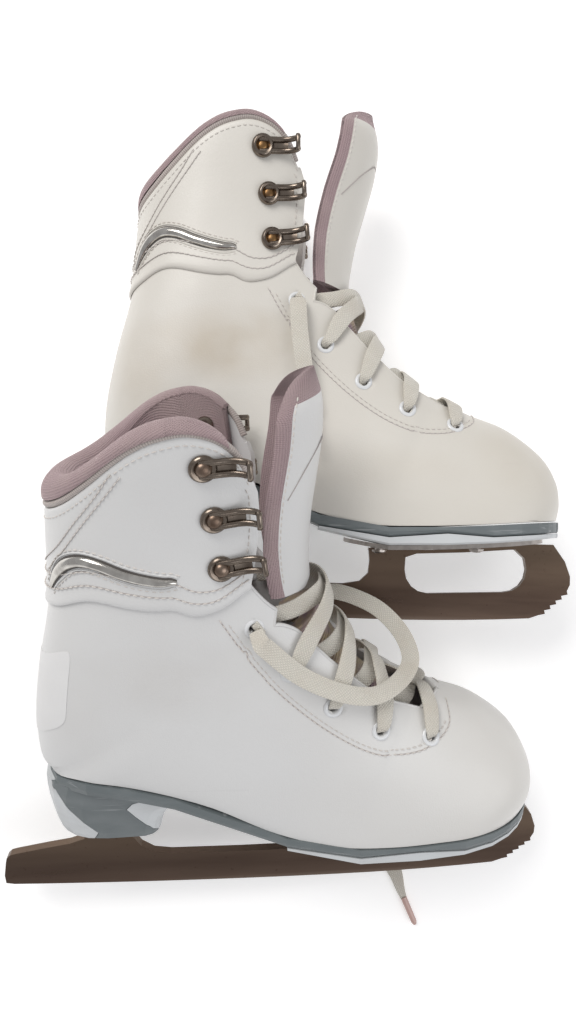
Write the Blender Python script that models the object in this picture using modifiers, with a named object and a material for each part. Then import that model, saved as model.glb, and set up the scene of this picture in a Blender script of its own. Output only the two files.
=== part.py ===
# A pair of laced figure skates lying on their sides, the right one propped on the left one.
# Metres, +Z up, the floor at z = 0, the origin under the middle of the pair.
# Each skate is drawn upright in its own frame: x forward from the back of the heel, y to the
# skater's left, z up from the ice. The left skate is the right one mirrored in y.

import math

import bmesh
import bpy
import numpy as np
from mathutils import Euler, Matrix, Vector

MM = 0.001
GAP = 0.3 * MM  # clearance between pieces that touch
SEAT_GAP = 0.6 * MM  # clearance between the boot and its sole

# Driving sizes of the boot
BOOT_LENGTH = 216.5 * MM
BOOT_WIDTH = 69 * MM
SHAFT_HEIGHT = 180 * MM  # from the seat under the ball of the foot to the top of the cuff
LEATHER = 3.0 * MM
CUFF_RAISE = 1.0 * MM  # how far the ankle cuff stands out from the quarters
LINING = 5.0 * MM
TONGUE_THICKNESS = 6.0 * MM
TONGUE_WIDTH = 47 * MM
FOOTBED = 3.0 * MM

# Driving sizes of the sole and the blade
SOLE_THICKNESS = 8.0 * MM
WELT_OVERHANG = 0.9 * MM
HEEL_HEIGHT = 27.3 * MM  # the heel block, from the heel plate to the waist of the sole
BLADE_HEIGHT = 33.95 * MM  # from the ice to the underside of the sole plate at the ball
BLADE_THICKNESS = 3.9 * MM
PLATE = 2.0 * MM
TAIL_REACH = 25 * MM  # how far the blade runs out behind the heel
PICK_REACH = 8.6 * MM  # how far the toe pick runs out past the toe
REAR_ROCKER = 3.2  # radius of the running edge behind its lowest point
FRONT_ROCKER = 1.0

# Hardware
SCREW_HEAD = 7.0 * MM
SCREW_SHANK = 4.0 * MM
HOOK_BUTTON = 10.0 * MM
HOOK_WIDTH = 7.6 * MM
TRIM_HEIGHT = 1.6 * MM
LACE = 2.8 * MM  # the round cord that stands for the flat lace
LACE_HOLE = 4.8 * MM
TONGUE_DEPTH = -(LEATHER + LACE + 1.8 * MM)  # how far the laced part lies inside the facings

# The lasted form, on a last 219 long, 70.4 wide and 180 high over its seat: where a row starts on
# the sole or the back line, where it ends on the ridge of the instep, and its half width.
FORM = np.array([
    (215.2, 51.0, 216.3, 56.5, 35.0),
    (210.3, 50.8, 216.3, 62.5, 35.0),
    (202.2, 50.2, 214.2, 71.5, 35.0),
    (190.0, 49.3, 207.0, 82.5, 35.0),
    (173.0, 48.0, 191.0, 94.5, 35.0),
    (150.0, 46.9, 173.0, 101.5, 35.2),
    (126.0, 47.2, 157.0, 110.0, 33.5),
    (100.0, 53.0, 144.0, 120.0, 31.0),
    (72.0, 66.3, 134.0, 132.5, 29.5),
    (44.0, 75.5, 128.5, 143.0, 29.0),
    (20.0, 79.6, 124.0, 152.5, 29.0),
    (2.8, 78.0, 120.5, 163.0, 29.0),
    (0.0, 97.0, 118.0, 171.0, 29.5),
    (3.8, 125.0, 114.5, 184.0, 30.2),
    (10.6, 155.0, 112.0, 198.0, 31.4),
    (13.2, 184.0, 110.5, 213.0, 34.2),
    (15.2, 212.0, 109.5, 229.0, 38.0),
    (16.6, 236.0, 109.0, 246.0, 41.0),
])
# How square each row is: 1 would be a diamond, 0.87 is close to an ellipse, 0.5 is boxy.
SQUARENESS = np.array([.87, .87, .87, .87, .87, .84, .76, .70, .68, .68, .69, .71, .74, .80, .84, .86, .87, .87])
ROWS = len(FORM) - 1
HEEL_ROW = 11 / ROWS  # the row that starts at the back corner of the heel seat
HEEL_X = 2.8  # where the seat starts to round in, on the last
HEEL_ROUND = 26.0  # how far forward the back of the heel is rounded, on the last
SEAT_NARROW = [1, 1, 0.93, 0.88]  # width of the sole's edge over the boot's, at rows 0, 6, 8 and 10
BALL_X = 172.0  # where the toe starts to round in, on the last
TOE_X = 216.2
SEAT_Z = 46.9  # the last's own height of the seat under the ball
LAST = (216.5, 70.4, 180.0)
INWARD_TOE = 1.5  # how far the toe of the right skate swings to the left

# Lines on the last, as x and z in the side view, from the back of the boot to the front
CUFF_SEAM = [(9.9, 155.5), (18.5, 158.5), (33.5, 163.5), (55, 160), (70, 157), (79, 158.5), (88, 164.5)]
CUFF_RIM = [(12.6, 191.5), (22, 197), (34, 206), (50, 219), (61, 224), (71, 225.3), (80, 222.5), (86.5, 216.5), (90.5, 208)]
FACING = [(90, 213), (93.5, 203), (94, 195), (93.5, 185), (92, 173), (90.5, 166), (100.5, 154.5), (113, 139.5), (122, 130.5), (131, 122), (148, 109), (162, 102.3)]
EYELETS = [(165.0, 93.0), (143.0, 99.5), (123.0, 111.5), (105.5, 128.0), (92.0, 148.0)]
HOOKS = [(80.0, 174.8), (78.0, 194.5), (75.0, 214.3)]
TRIM = [(16.5, 164.0), (19.5, 170), (24, 175.5), (30, 178.0), (37, 177.0), (45, 173.8), (53, 171.4), (60, 170.4), (64, 170.2)]

# The free ends of the laces as points of the skate they belong to, on the last, from the eyelet on
NEAR_END = [(94.5, -33.5, 144.5), (109.5, -33.5, 130.4), (126.3, -31, 120.4), (140.7, -26.0, 115.7), (152.7, -16.0, 116.5),
            (159.0, -5.0, 119.8), (157.2, 8.0, 125.5), (149.1, 18.0, 132.1), (138.7, 25.0, 135.6), (129.3, 29.0, 137), (120, 32, 137)]
FAR_END = [(92.8, 32, 146.2), (93.7, 33.2, 140.2), (95, 32.6, 130.5), (96.3, 33.9, 118.9), (97.5, 37.7, 104), (98.3, 41.1, 87.2), (98.5, 42.6, 71.1),
           (100.7, 41.6, 56.1), (104.3, 36.9, 42.7), (119.7, 27.4, 22.9), (139.2, 19.5, 7), (154.9, 14.2, -3.4), (161.2, 10.8, -10.3), (164.4, 6.3, -19.9), (165.8, 4.7, -23.3)]
HANGING_END = [(93.0, 33.2, 141), (93.8, 34.0, 132), (95.3, 35.0, 122), (97.2, 35.4, 110), (99.0, 36.0, 100), (100, 36.6, 95)]
TUCKED_END = [(90.5, -31.6, 141), (88, -31.8, 131), (86, -32.6, 120), (85, -33.0, 108)]
AGLET = {"length": 14 * MM, "width": 3.2 * MM}

# How each skate lies: Euler angles in degrees from upright, where its heel is on the floor, how
# many degrees its tongue hangs forward, and how far that tongue has slipped up out of the boot
LYING = {
    "left": {"turn": (-86.08, -4.58, -1.53), "at": (-73.3 * MM, -7.9 * MM), "tongue_open": 7.0, "tongue_slip": 6 * MM},
    "right": {"turn": (-65.7, 0.72, 1.61), "at": (-88.7 * MM, -136.5 * MM), "tongue_open": 0.0, "tongue_slip": 0.0},
}


# ---------- curves and the lasted form ----------

def smooth(values, at):
    # Catmull-Rom curve through evenly spaced values, read at 0 to 1
    v = np.asarray(values, float)
    n = len(v) - 1
    u = np.clip(np.asarray(at, float), 0, 1) * n
    i = np.minimum(u.astype(int), n - 1)
    f = u - i
    if v.ndim > 1:
        f = f[..., None]
    ends = np.concatenate([[2 * v[0] - v[1]], v, [2 * v[-1] - v[-2]]])
    p0, p1, p2, p3 = ends[i], ends[i + 1], ends[i + 2], ends[i + 3]
    return 0.5 * (2 * p1 + (p2 - p0) * f + (2 * p0 - 5 * p1 + 4 * p2 - p3) * f ** 2
                  + (3 * p1 - p0 - 3 * p2 + p3) * f ** 3)


def row_start(s, power, bx):
    # The angle at which a row starts: a quarter turn on the sole, nothing up the back line
    t = np.clip((bx - HEEL_X) / HEEL_ROUND, 0, 1)
    plan = np.sqrt(1 - (1 - t) ** 2) * np.interp(s * ROWS, [0, 6, 8, 10], SEAT_NARROW)
    return np.where(s < HEEL_ROW, np.arcsin(plan ** (1 / power)), 0.0)


def form(s, a):
    # The last at row s (0 toe, 1 top) and a around it (0 sole or back, 1 ridge): x, half width, z
    s, a = np.broadcast_arrays(np.asarray(s, float), np.asarray(a, float))
    bx, bz, fx, fz, half = (smooth(FORM[:, k], s) for k in range(5))
    power = smooth(SQUARENESS, s)
    t = np.clip((bx - BALL_X) / (TOE_X - BALL_X), 0, 1)
    half = half * (1 - t ** 2.3) ** (1 / 2.1)
    start = row_start(s, power, bx)
    turn = start + (math.pi - start) * a
    across = -np.sign(np.cos(turn)) * np.abs(np.cos(turn)) ** power
    first = -np.cos(start) ** power
    q = (across - first) / (1 - first)
    return np.stack([bx + q * (fx - bx), half * np.abs(np.sin(turn)) ** power, bz + q * (fz - bz)], -1)


def locate(x, z):
    # The row and the place around it of a point of the side view
    s = np.linspace(0, 1, 4001)
    bx, bz, fx, fz = (smooth(FORM[:, k], s) for k in range(4))
    side = (x - bx) * (fz - bz) - (z - bz) * (fx - bx)
    q = ((x - bx) * (fx - bx) + (z - bz) * (fz - bz)) / ((fx - bx) ** 2 + (fz - bz) ** 2)
    k = np.nonzero((side[:-1] * side[1:] <= 0) & (q[:-1] > -0.03) & (q[:-1] < 1.03))[0][0]
    share = side[k] / (side[k] - side[k + 1])
    row = s[k] + share * (s[k + 1] - s[k])
    q = min(max(q[k] + share * (q[k + 1] - q[k]), 0), 1)
    power = float(smooth(SQUARENESS, row))
    start = float(row_start(row, power, float(smooth(FORM[:, 0], row))))
    first = -math.cos(start) ** power
    across = q * (1 - first) + first
    turn = math.acos(max(-1.0, min(1.0, -math.copysign(abs(across) ** (1 / power), across))))
    return row, (turn - start) / (math.pi - start)


def seat_height():
    return BLADE_HEIGHT + PLATE + GAP + SOLE_THICKNESS + SEAT_GAP


def from_last(p):
    # A point of the last, in its own millimetres, at the boot's real size
    p = np.asarray(p, float)
    x = p[..., 0]
    swing = np.clip((x - 80) / 130, 0, 1)
    swing = INWARD_TOE * swing * swing * (3 - 2 * swing)
    return np.stack([x * BOOT_LENGTH / LAST[0],
                     (p[..., 1] + swing) * BOOT_WIDTH / LAST[1],
                     seat_height() + (p[..., 2] - SEAT_Z) * SHAFT_HEIGHT / LAST[2]], -1)


def skin(s, a, side, lift=0.0):
    # A point of the boot's surface on one side (-1 right, +1 left), lifted along its normal
    def point(s, a):
        p = form(s, a)
        return from_last(p * np.array([1, side, 1]))

    s, a = np.broadcast_arrays(np.asarray(s, float), np.asarray(a, float))
    step = 1e-3
    along = point(np.clip(s + step, 0, 1), a) - point(np.clip(s - step, 0, 1), a)
    inside = np.clip(a, 0.004, 0.996)
    around = point(s, inside + step) - point(s, inside - step)
    normal = np.cross(around, along) * -side
    normal /= np.linalg.norm(normal, axis=-1, keepdims=True)
    return point(s, a) + normal * np.asarray(lift, float)[..., None], normal


def line_on_last(points):
    # A line of the side view as rows and places around them, smooth through its points
    found = np.array([locate(x, z) for x, z in points])
    return lambda t: smooth(found, t)


def facing(s):
    # How far round a row reaches before its front edge: to the ridge, and less beside the throat
    return np.interp(s, FACING_EDGE[0], FACING_EDGE[1])


def facing_edge():
    found = sorted(locate(x, z) for x, z in FACING)
    return [5 / ROWS] + [s for s, _ in found], [1.0] + [a for _, a in found]


FACING_EDGE = facing_edge()
PLAIN = 0.50  # rows up to this one are the last's own, and above it the shell's rows bend to the seam
PLACES = np.linspace(1, 0, 9)  # places around a row, from its front edge to the sole or the back line


def rows_along(points):
    # The row of a line of the side view, by how far round to the front edge it has come
    found = line_on_last(points)(np.linspace(0, 1, 160))
    share = found[:, 1] / facing(found[:, 0])
    return lambda k: float(np.interp(k, share, found[:, 0]))


def shell_rows():
    # Every row of the shell, as its row of the last at each place around it
    plain = PLAIN * (1 - np.cos(np.pi / 2 * np.linspace(0, 1, 13)) ** 0.8)
    seam = rows_along(CUFF_SEAM)
    at_seam = np.array([seam(k) for k in PLACES])
    bent = [PLAIN + (at_seam - PLAIN) * w for w in np.linspace(0, 1, 9)[1:]]
    return np.array([np.full(len(PLACES), v) for v in plain] + bent)


def sole_line():
    # The edge of the sole from the toe to the back of the heel: x, half width and height on the last
    s = shell_rows()[:, -1]
    p = form(np.append(s[s < HEEL_ROW - 0.01], HEEL_ROW - 0.004), 0)
    return p[:, 0], p[:, 1], p[:, 2]


def sole_thickness(x):
    # Full under the ball, thinner at the waist and under the heel
    return SOLE_THICKNESS * np.interp(x, [0, 55, 75, 90, 104, 120, 190, 220], [.80, .74, .62, .68, .82, 1.0, .97, .88])


def sole_bottom(x):
    # Height of the underside of the sole over the ice, at a place x on the last
    xs, _, zs = sole_line()
    top = np.interp(x, xs[::-1], zs[::-1])
    return from_last(np.stack([x, 0 * x, top], -1))[..., 2] - SEAT_GAP - sole_thickness(x)


# ---------- making objects ----------

def finish(name, mesh, skate, material):
    obj = bpy.data.objects.new(skate["name"] + "_" + name, mesh)
    skate["parts"].objects.link(obj)
    if skate["side"] > 0:  # the left skate is the right one mirrored
        mesh.transform(Matrix.Scale(-1, 4, Vector((0, 1, 0))))
        mesh.flip_normals()
    mesh.shade_smooth()
    mesh.set_sharp_from_angle(angle=math.radians(40))
    mesh.materials.append(material)
    obj.parent = skate["root"]
    return obj


def clean(bm):
    bmesh.ops.remove_doubles(bm, verts=bm.verts, dist=1e-6)
    bmesh.ops.dissolve_degenerate(bm, dist=1e-6, edges=bm.edges)
    bmesh.ops.recalc_face_normals(bm, faces=bm.faces)


def mesh_of(bm, name):
    mesh = bpy.data.meshes.new(name)
    bm.to_mesh(mesh)
    bm.free()
    return mesh


def loft(rings, name, caps=True):
    # A closed solid through rings of points, each with the same count
    bm = bmesh.new()
    rows = [[bm.verts.new(p) for p in ring] for ring in rings]
    count = len(rows[0])
    for low, high in zip(rows, rows[1:]):
        for k in range(count):
            j = (k + 1) % count
            bm.faces.new((low[k], low[j], high[j], high[k]))
    if caps:
        bm.faces.new(rows[0])
        bm.faces.new(rows[-1][::-1])
    clean(bm)
    bmesh.ops.triangulate(bm, faces=[f for f in bm.faces if len(f.verts) > 4])
    return mesh_of(bm, name)


def mesh_from(obj):
    # An object's evaluated mesh, welded, and the object itself removed
    graph = bpy.context.evaluated_depsgraph_get()
    bm = bmesh.new()
    bm.from_mesh(bpy.data.meshes.new_from_object(obj.evaluated_get(graph)))
    name = obj.name
    bpy.data.objects.remove(obj)
    bmesh.ops.remove_doubles(bm, verts=bm.verts, dist=1e-5)
    bmesh.ops.recalc_face_normals(bm, faces=bm.faces)
    return mesh_of(bm, name)


def prism(outline, low, high, name="prism"):
    # An outline in x and z, extruded from y = low to y = high
    curve = bpy.data.curves.new(name, "CURVE")
    curve.dimensions = "2D"
    curve.fill_mode = "BOTH"
    curve.extrude = (high - low) / 2
    spline = curve.splines.new("POLY")
    spline.points.add(len(outline) - 1)
    for target, (x, z) in zip(spline.points, outline):
        target.co = (x, z, 0, 1)
    spline.use_cyclic_u = True
    mesh = mesh_from(object_of(curve))
    mesh.transform(Matrix.Translation((0, (low + high) / 2, 0)) @ Matrix.Rotation(math.pi / 2, 4, "X"))
    return mesh


def object_of(mesh, cutter=True):
    obj = bpy.data.objects.new(mesh.name, mesh)
    bpy.data.collections["cutters"].objects.link(obj)
    obj.hide_render = cutter
    obj.display_type = "WIRE"
    return obj


def boolean(mesh, others, operation="DIFFERENCE"):
    # The mesh after each of the others has been cut from it, joined to it, or kept in common
    obj = object_of(mesh)
    tools = [object_of(other) for other in others]
    for tool in tools:
        cut = obj.modifiers.new("cut", "BOOLEAN")
        cut.operation = operation
        cut.solver = "EXACT"
        cut.object = tool
    graph = bpy.context.evaluated_depsgraph_get()
    result = bpy.data.meshes.new_from_object(obj.evaluated_get(graph))
    for spent in [obj] + tools:
        bpy.data.objects.remove(spent)
    return result


def cylinder(centre, axis, radius, length, sides=16):
    bm = bmesh.new()
    turn = Vector((0, 0, 1)).rotation_difference(Vector(axis)).to_matrix().to_4x4()
    bmesh.ops.create_cone(bm, cap_ends=True, segments=sides, radius1=radius, radius2=radius,
                          depth=length, matrix=Matrix.Translation(centre) @ turn)
    return mesh_of(bm, "cylinder")


def tube(points, width, name):
    # A round cord through a list of points, as a closed mesh
    curve = bpy.data.curves.new(name, "CURVE")
    curve.dimensions = "3D"
    curve.bevel_depth = width / 2
    curve.bevel_resolution = 2
    curve.use_fill_caps = True
    spline = curve.splines.new("POLY")
    spline.points.add(len(points) - 1)
    for target, p in zip(spline.points, points):
        target.co = (*p, 1)
    return mesh_from(object_of(curve))


def turned(profile, centre, name, steps=8):
    # A profile of radii and heights, turned about the vertical through the centre
    bm = bmesh.new()
    corners = [bm.verts.new((r, 0, z)) for r, z in [(0, profile[0][1])] + profile + [(0, profile[-1][1])]]
    for pair in zip(corners, corners[1:]):
        bm.edges.new(pair)
    obj = object_of(mesh_of(bm, name))
    screw = obj.modifiers.new("turn", "SCREW")
    screw.steps = screw.render_steps = steps
    screw.use_merge_vertices = True
    screw.merge_threshold = 1e-5
    mesh = mesh_from(obj)
    mesh.transform(Matrix.Translation(centre))
    return mesh


def material(name, color, roughness, metallic=0.0):
    mat = bpy.data.materials.new(name)
    mat.use_nodes = True
    shader = mat.node_tree.nodes["Principled BSDF"]
    shader.inputs["Base Color"].default_value = (*color, 1)
    shader.inputs["Roughness"].default_value = roughness
    shader.inputs["Metallic"].default_value = metallic
    return mat


# ---------- the boot ----------

def across(near, far):
    # Both sides of a row as one line, from the right side's end round to the left side's
    return np.concatenate([near, far[:, ::-1]], axis=1)


def boot_shell(skate, leather):
    # The vamp and quarters: rows from the toe to the cuff's seam, open at the throat
    s = shell_rows()
    a = PLACES * facing(s)
    right, _ = skin(s, a, -1)
    left, _ = skin(s, a, 1)
    lowest_r, lowest_l = right[:, -1:], left[:, -1:]
    middle = np.concatenate([lowest_r + (lowest_l - lowest_r) * k for k in (0.25, 0.5, 0.75)], axis=1)
    grid = np.concatenate([right, middle, left[:, ::-1]], axis=1)
    bm = bmesh.new()
    rows = [[bm.verts.new(p) for p in row] for row in grid]
    count = len(rows[0])
    for low, high in zip(rows, rows[1:]):
        for k in range(count - 1):
            bm.faces.new((low[k], low[k + 1], high[k + 1], high[k]))
    bm.faces.new(rows[0])
    bmesh.ops.remove_doubles(bm, verts=bm.verts, dist=2e-5)
    bmesh.ops.dissolve_degenerate(bm, dist=1e-6, edges=bm.edges)
    bmesh.ops.recalc_face_normals(bm, faces=bm.faces)
    outside = max(bm.faces, key=lambda f: f.calc_center_median().y)
    if outside.normal.y < 0:
        bmesh.ops.reverse_faces(bm, faces=bm.faces)
    mesh = mesh_of(bm, "boot_shell")
    obj = object_of(mesh)
    wall = obj.modifiers.new("wall", "SOLIDIFY")
    wall.thickness = LEATHER
    wall.offset = -1
    wall.use_even_offset = True
    graph = bpy.context.evaluated_depsgraph_get()
    solid = bpy.data.meshes.new_from_object(obj.evaluated_get(graph))
    bpy.data.objects.remove(obj)
    holes = []
    for side in (-1, 1):
        for place in EYELETS:
            p, n = skin(*locate(*place), side)
            holes.append(cylinder(p - n * LEATHER / 2, n, LACE_HOLE / 2, LEATHER * 4, 8))
    return finish("boot_shell", boolean(solid, holes), skate, leather)


def wrap(levels, places, name):
    # A solid wrapped round the ankle: a ring of (row, lift) pairs at each place around it
    rings = []
    for side in (-1, 1):
        part = [[skin(s, k * facing(s), side, lift)[0] for s, lift in levels(k)] for k in places]
        rings += part if side < 0 else part[-2::-1]
    return loft(rings, name)


def ankle_cuff(skate, leather):
    # The stiff cuff over the ankle, from its S-shaped seam to the rim of the boot
    seam, rim = rows_along(CUFF_SEAM), rows_along(CUFF_RIM)

    def levels(k):
        low, high = seam(k) + 0.0045, rim(k)
        rows = low + (high - low) * np.array([0, 0.03, 0.2, 0.4, 0.6, 0.8, 0.97, 1.0])
        outer = CUFF_RAISE * np.array([.2, 1, 1, 1, 1, 1, 1, .4])
        return list(zip(rows, outer)) + [(s, -LEATHER) for s in rows[[7, 5, 3, 2, 0]]]

    return finish("ankle_cuff", wrap(levels, PLACES, "ankle_cuff"), skate, leather)


def liner(skate, fabric):
    # The padded lining of the ankle, rolled outwards over the rim as the collar
    rim = rows_along(CUFF_RIM)
    depth = LEATHER + 2.5 * GAP

    def levels(k):
        high = rim(k)
        roll = 0.030 - 0.020 * k  # the collar stands higher at the back than at the front
        inner = depth + LINING + 3.5 * MM * (1 - k)
        rows = [0.70, 0.73, 0.76, 0.80, 0.84, 0.88]
        out = [(s, -depth) for s in rows]
        edge = [(high + 0.008, -depth), (high + 0.009, 0.2 * MM), (high + 0.45 * roll, 1.2 * MM),
                (high + 0.85 * roll, -0.6 * MM), (high + roll, -0.45 * inner),
                (high + 0.8 * roll, -0.9 * inner), (high + 0.3 * roll, -inner)]
        back = [(s, -depth - LINING) for s in rows[::-1]]
        return out + edge + back

    return finish("liner", wrap(levels, PLACES[1:], "liner"), skate, fabric)


def footbed(skate, fabric):
    x, half, z = sole_line()
    keep = (x > 18) & (x < 207)
    rings = []
    for px, w, pz in zip(x[keep], half[keep], z[keep]):
        p = from_last([px, 0, pz])
        w = w * BOOT_WIDTH / LAST[1] - LEATHER - 1.6 * MM
        low, high = p[2] + LEATHER + GAP * 3, p[2] + LEATHER + GAP * 3 + FOOTBED
        rings.append([(p[0], p[1] + w * u, h) for u, h in ((-.97, low), (-1, high), (0, high), (1, high), (.97, low), (0, low))])
    return finish("footbed", loft(rings, "footbed"), skate, fabric)


# ---------- the tongue ----------

TONGUE_LINE = [(163, 99), (149, 106.5), (136.5, 116.5), (127, 128), (120.5, 141), (116.5, 154), (115, 168),
               (115.5, 184), (117.5, 200), (119.5, 216), (119.5, 231), (116.0, 243.5)]
TONGUE_SPLIT = 5.0 / 11  # where the laced part ends and the free part begins


def tongue_ring(t, width=None, lift=0.0):
    # A section of the tongue: an arc that wraps the shin, as points and the way it faces
    p = smooth(TONGUE_LINE, t)
    d = smooth(TONGUE_LINE, min(t + .01, 1)) - smooth(TONGUE_LINE, max(t - .01, 0))
    d = d / np.linalg.norm(d)
    face = np.array([d[1], -d[0]])  # outwards, forward and up
    half = TONGUE_WIDTH / 2 if width is None else width
    curl = np.interp(t, [0, .3, .45, .7, 1], [.0075, .0085, .0150, .0170, .0150]) * half / (25 * MM)
    centre = from_last([p[0], 0, p[1]])
    out = np.array([face[0], 0, face[1]])
    ring = []
    for u, v in tongue_section():
        back = curl * u * u
        ring.append(centre + np.array([0, half * u, 0]) + out * (lift - back - TONGUE_THICKNESS * v))
    return ring, centre, out, np.array([d[0], 0, d[1]])


def tongue_section():
    u = [-1, -.95, -.6, 0, .6, .95, 1]
    front = [(a, b) for a, b in zip(u, [.5, .05, 0, 0, 0, .05, .5])]
    back = [(a, b) for a, b in zip(u[-2:0:-1], [.95, 1, 1, 1, .95])]
    return front + back


def tongue_width(t):
    # Narrow under the vamp, full at the ankle, rounded off at the top
    half = np.interp(t, [0, .12, .35, .45, .6, 1], [.50, .62, .74, .86, 1.0, 1.0]) * TONGUE_WIDTH / 2
    top = max(0.0, (t - 0.86) / 0.14)
    return half * math.sqrt(max(1 - 0.93 * top ** 2.2, 0.02))


def tongue_hinge():
    ring, centre, out, _ = tongue_ring(TONGUE_SPLIT)
    return centre - out * TONGUE_THICKNESS / 2


def tongue_base(skate, leather):
    # The laced part: it follows the instep under the facings, up to the hinge line
    rings = []
    for row in np.linspace(5.6, 9.9, 8) / ROWS:
        first = float(facing(row)) - 0.07
        ring = []
        for lift, order in ((TONGUE_DEPTH, 1), (TONGUE_DEPTH - TONGUE_THICKNESS + 1 * MM, -1)):
            places = [(-1, a) for a in np.linspace(first, 1, 5)] + [(1, a) for a in np.linspace(1, first, 5)[1:]]
            ring += [skin(row, a, side, lift)[0] for side, a in places[::order]]
        rings.append(ring)
    return finish("tongue_base", loft(rings, "tongue_base"), skate, leather)


def tongue(skate, leather):
    # The free part: its lower end is cut to a vee, so that it can fold forward on its hinge line
    lying = LYING[skate["name"]]
    ts = list(np.linspace(TONGUE_SPLIT + 0.004, 0.86, 6)) + [.91, .95, .98, 1.0]
    hinge = tongue_hinge()
    _, _, out, along = tongue_ring(TONGUE_SPLIT)
    slope_front, slope_back = math.tan(math.radians(36)), math.tan(math.radians(8))
    rings = []
    for t in ts:
        slip = along * lying["tongue_slip"] * (t - TONGUE_SPLIT) / (1 - TONGUE_SPLIT)
        rings.append([p + slip for p in tongue_ring(t, tongue_width(t))[0]])
    ahead = [float(np.dot(p - hinge, out)) for p in rings[0]]
    rings[0] = [p + along * (d * slope_front if d > 0 else -d * slope_back) for p, d in zip(rings[0], ahead)]
    obj = finish("tongue", loft(rings, "tongue"), skate, leather)
    # its origin is on its hinge line, about which it hangs open
    pivot = Vector((hinge[0], 0, hinge[2]))
    obj.data.transform(Matrix.Translation(-pivot))
    obj.location = pivot
    obj.rotation_euler = (0, math.radians(lying["tongue_open"]), 0)
    return obj


# ---------- the sole and the blade ----------

def sole_section(x, w, low, high, y):
    edge = 1.2 * MM
    return [(x, y - w, high), (x, y - w - 0.3 * MM, (low + high) / 2), (x, y - w + 0.2 * MM, low + edge * .6), (x, y - w + edge, low),
            (x, y + w - edge, low), (x, y + w - 0.2 * MM, low + edge * .6), (x, y + w + 0.3 * MM, (low + high) / 2), (x, y + w, high)]


def wave_line(x):
    # Share of the sole's thickness that the white layer takes: it swells in a wave at the ball
    return np.interp(x, [96, 104, 120, 132, 138, 145, 157, 163, 172, 218], [.02, .25, .34, .36, .52, .84, .84, .52, .36, .30])


def sole_stations():
    x, half, z = sole_line()
    rim = from_last(np.stack([x, half, z], -1))
    middle = from_last(np.stack([x, 0 * x, z], -1))
    w = rim[:, 1] - middle[:, 1] + WELT_OVERHANG
    return x, middle[:, 0], middle[:, 1], w, middle[:, 2] - SEAT_GAP


def outsole_slab(top_margin=0.0):
    rings = []
    x, px, py, w, high = sole_stations()
    for i in range(len(x)):
        low = high[i] - sole_thickness(x[i])
        if x[i] > 97:
            low = low + (high[i] - low) * wave_line(x[i]) + GAP / 2
        shift = WELT_OVERHANG if i == 0 else 0.0
        rings.append(sole_section(px[i] + shift, w[i], low, high[i], py[i]))
    return loft(rings, "outsole")


def midsole_wave(skate, rubber):
    rings = []
    x, px, py, w, high = sole_stations()
    for i in range(len(x)):
        if x[i] > 97:
            low = high[i] - sole_thickness(x[i])
            top = low + (high[i] - low) * wave_line(x[i]) - GAP / 2
            edge = min(0.8 * MM, 0.3 * (top - low))
            a, b = w[i] - 0.3 * MM, w[i] - 1.6 * MM
            y = py[i]
            shift = WELT_OVERHANG if i == 0 else 0.0
            rings.append([(px[i] + shift, y - a, top), (px[i] + shift, y - a, low + edge), (px[i] + shift, y - b, low),
                          (px[i] + shift, y + b, low), (px[i] + shift, y + a, low + edge), (px[i] + shift, y + a, top)])
    return finish("midsole_wave", loft(rings, "midsole_wave"), skate, rubber)


def heel_bottom():
    return float(sole_bottom(np.array(30.0))) - HEEL_HEIGHT


def heel_block(into_sole):
    # Rings from the heel plate up to the sole: rounded behind, nearly flat in front
    low = heel_bottom()
    rings = []
    shares = [0, .12, .35, .6, .82, 1.0]
    backs = [5.0, 3.4, 2.2, 1.2, 0.8, 0.8]
    fronts = [50.0, 50.6, 52.2, 55.6, 62.0, 72.0]
    halves = [18.0, 19.0, 20.3, 21.8, 23.2, 24.4]
    for share, x0, x1, w in zip(shares, backs, fronts, halves):
        ring = []
        for k in range(20):
            turn = 2 * math.pi * k / 20
            c, s = math.cos(turn), math.sin(turn)
            n = 0.30 if c > 0 else 0.86
            x = (x0 + x1) / 2 + (x1 - x0) / 2 * math.copysign(abs(c) ** n, c)
            y = w * math.copysign(abs(s) ** (0.45 if c > 0 else 0.80), s)
            top = float(sole_bottom(np.array(x))) + into_sole
            p = from_last([x, y, 0])
            ring.append((p[0], p[1], low + (top - low) * share))
        rings.append(ring)
    return loft(rings, "heel_block")


def side_layers(margin):
    # The grey outer layers of the heel: everything outside its white core but the two windows
    depth = 14 * MM - margin
    low, high = heel_bottom() - 10 * MM, heel_bottom() + HEEL_HEIGHT + 25 * MM
    back, front = -20 * MM, 100 * MM
    box = [(back, low), (front, low), (front, high), (back, high)]

    def window(points, grow):
        p = np.array([from_last([x, 0, 0])[[0]].tolist() + [heel_bottom() + z * HEEL_HEIGHT] for x, z in points])
        c = p.mean(axis=0)
        d = p - c
        return c + d * (1 + grow / np.linalg.norm(d, axis=1, keepdims=True))

    wedge = window([(-6, 0.98), (7.2, .93), (13, .60), (24, .13), (19, -.2), (-6, -.2)], -margin)
    panel = window([(37.0, .66), (39.5, .78), (43.5, .84), (50, .82), (60, .80), (66, .5), (60, .0), (50, -.04), (45.5, .22), (40.5, .46)], -margin)
    layers = []
    for side in (-1, 1):
        near, far = sorted((side * depth, side * 45 * MM))
        blank = prism(box, near, far)
        cuts = [prism(w, near - 5 * MM, far + 5 * MM) for w in (wedge, panel)]
        layers.append(boolean(blank, cuts))
    return layers


def heel_and_outsole(skate, grey, white):
    low_layers = side_layers(0.0)
    sides = [boolean(heel_block(2.2 * MM), [layer], "INTERSECT") for layer in low_layers]
    sole = boolean(outsole_slab(), sides, "UNION")
    finish("outsole", sole, skate, grey)
    lowered = outsole_slab()
    lowered.transform(Matrix.Translation((0, 0, -GAP)))
    core = boolean(heel_block(2.2 * MM), side_layers(GAP) + [lowered])
    finish("heel_core", core, skate, white)


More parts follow.
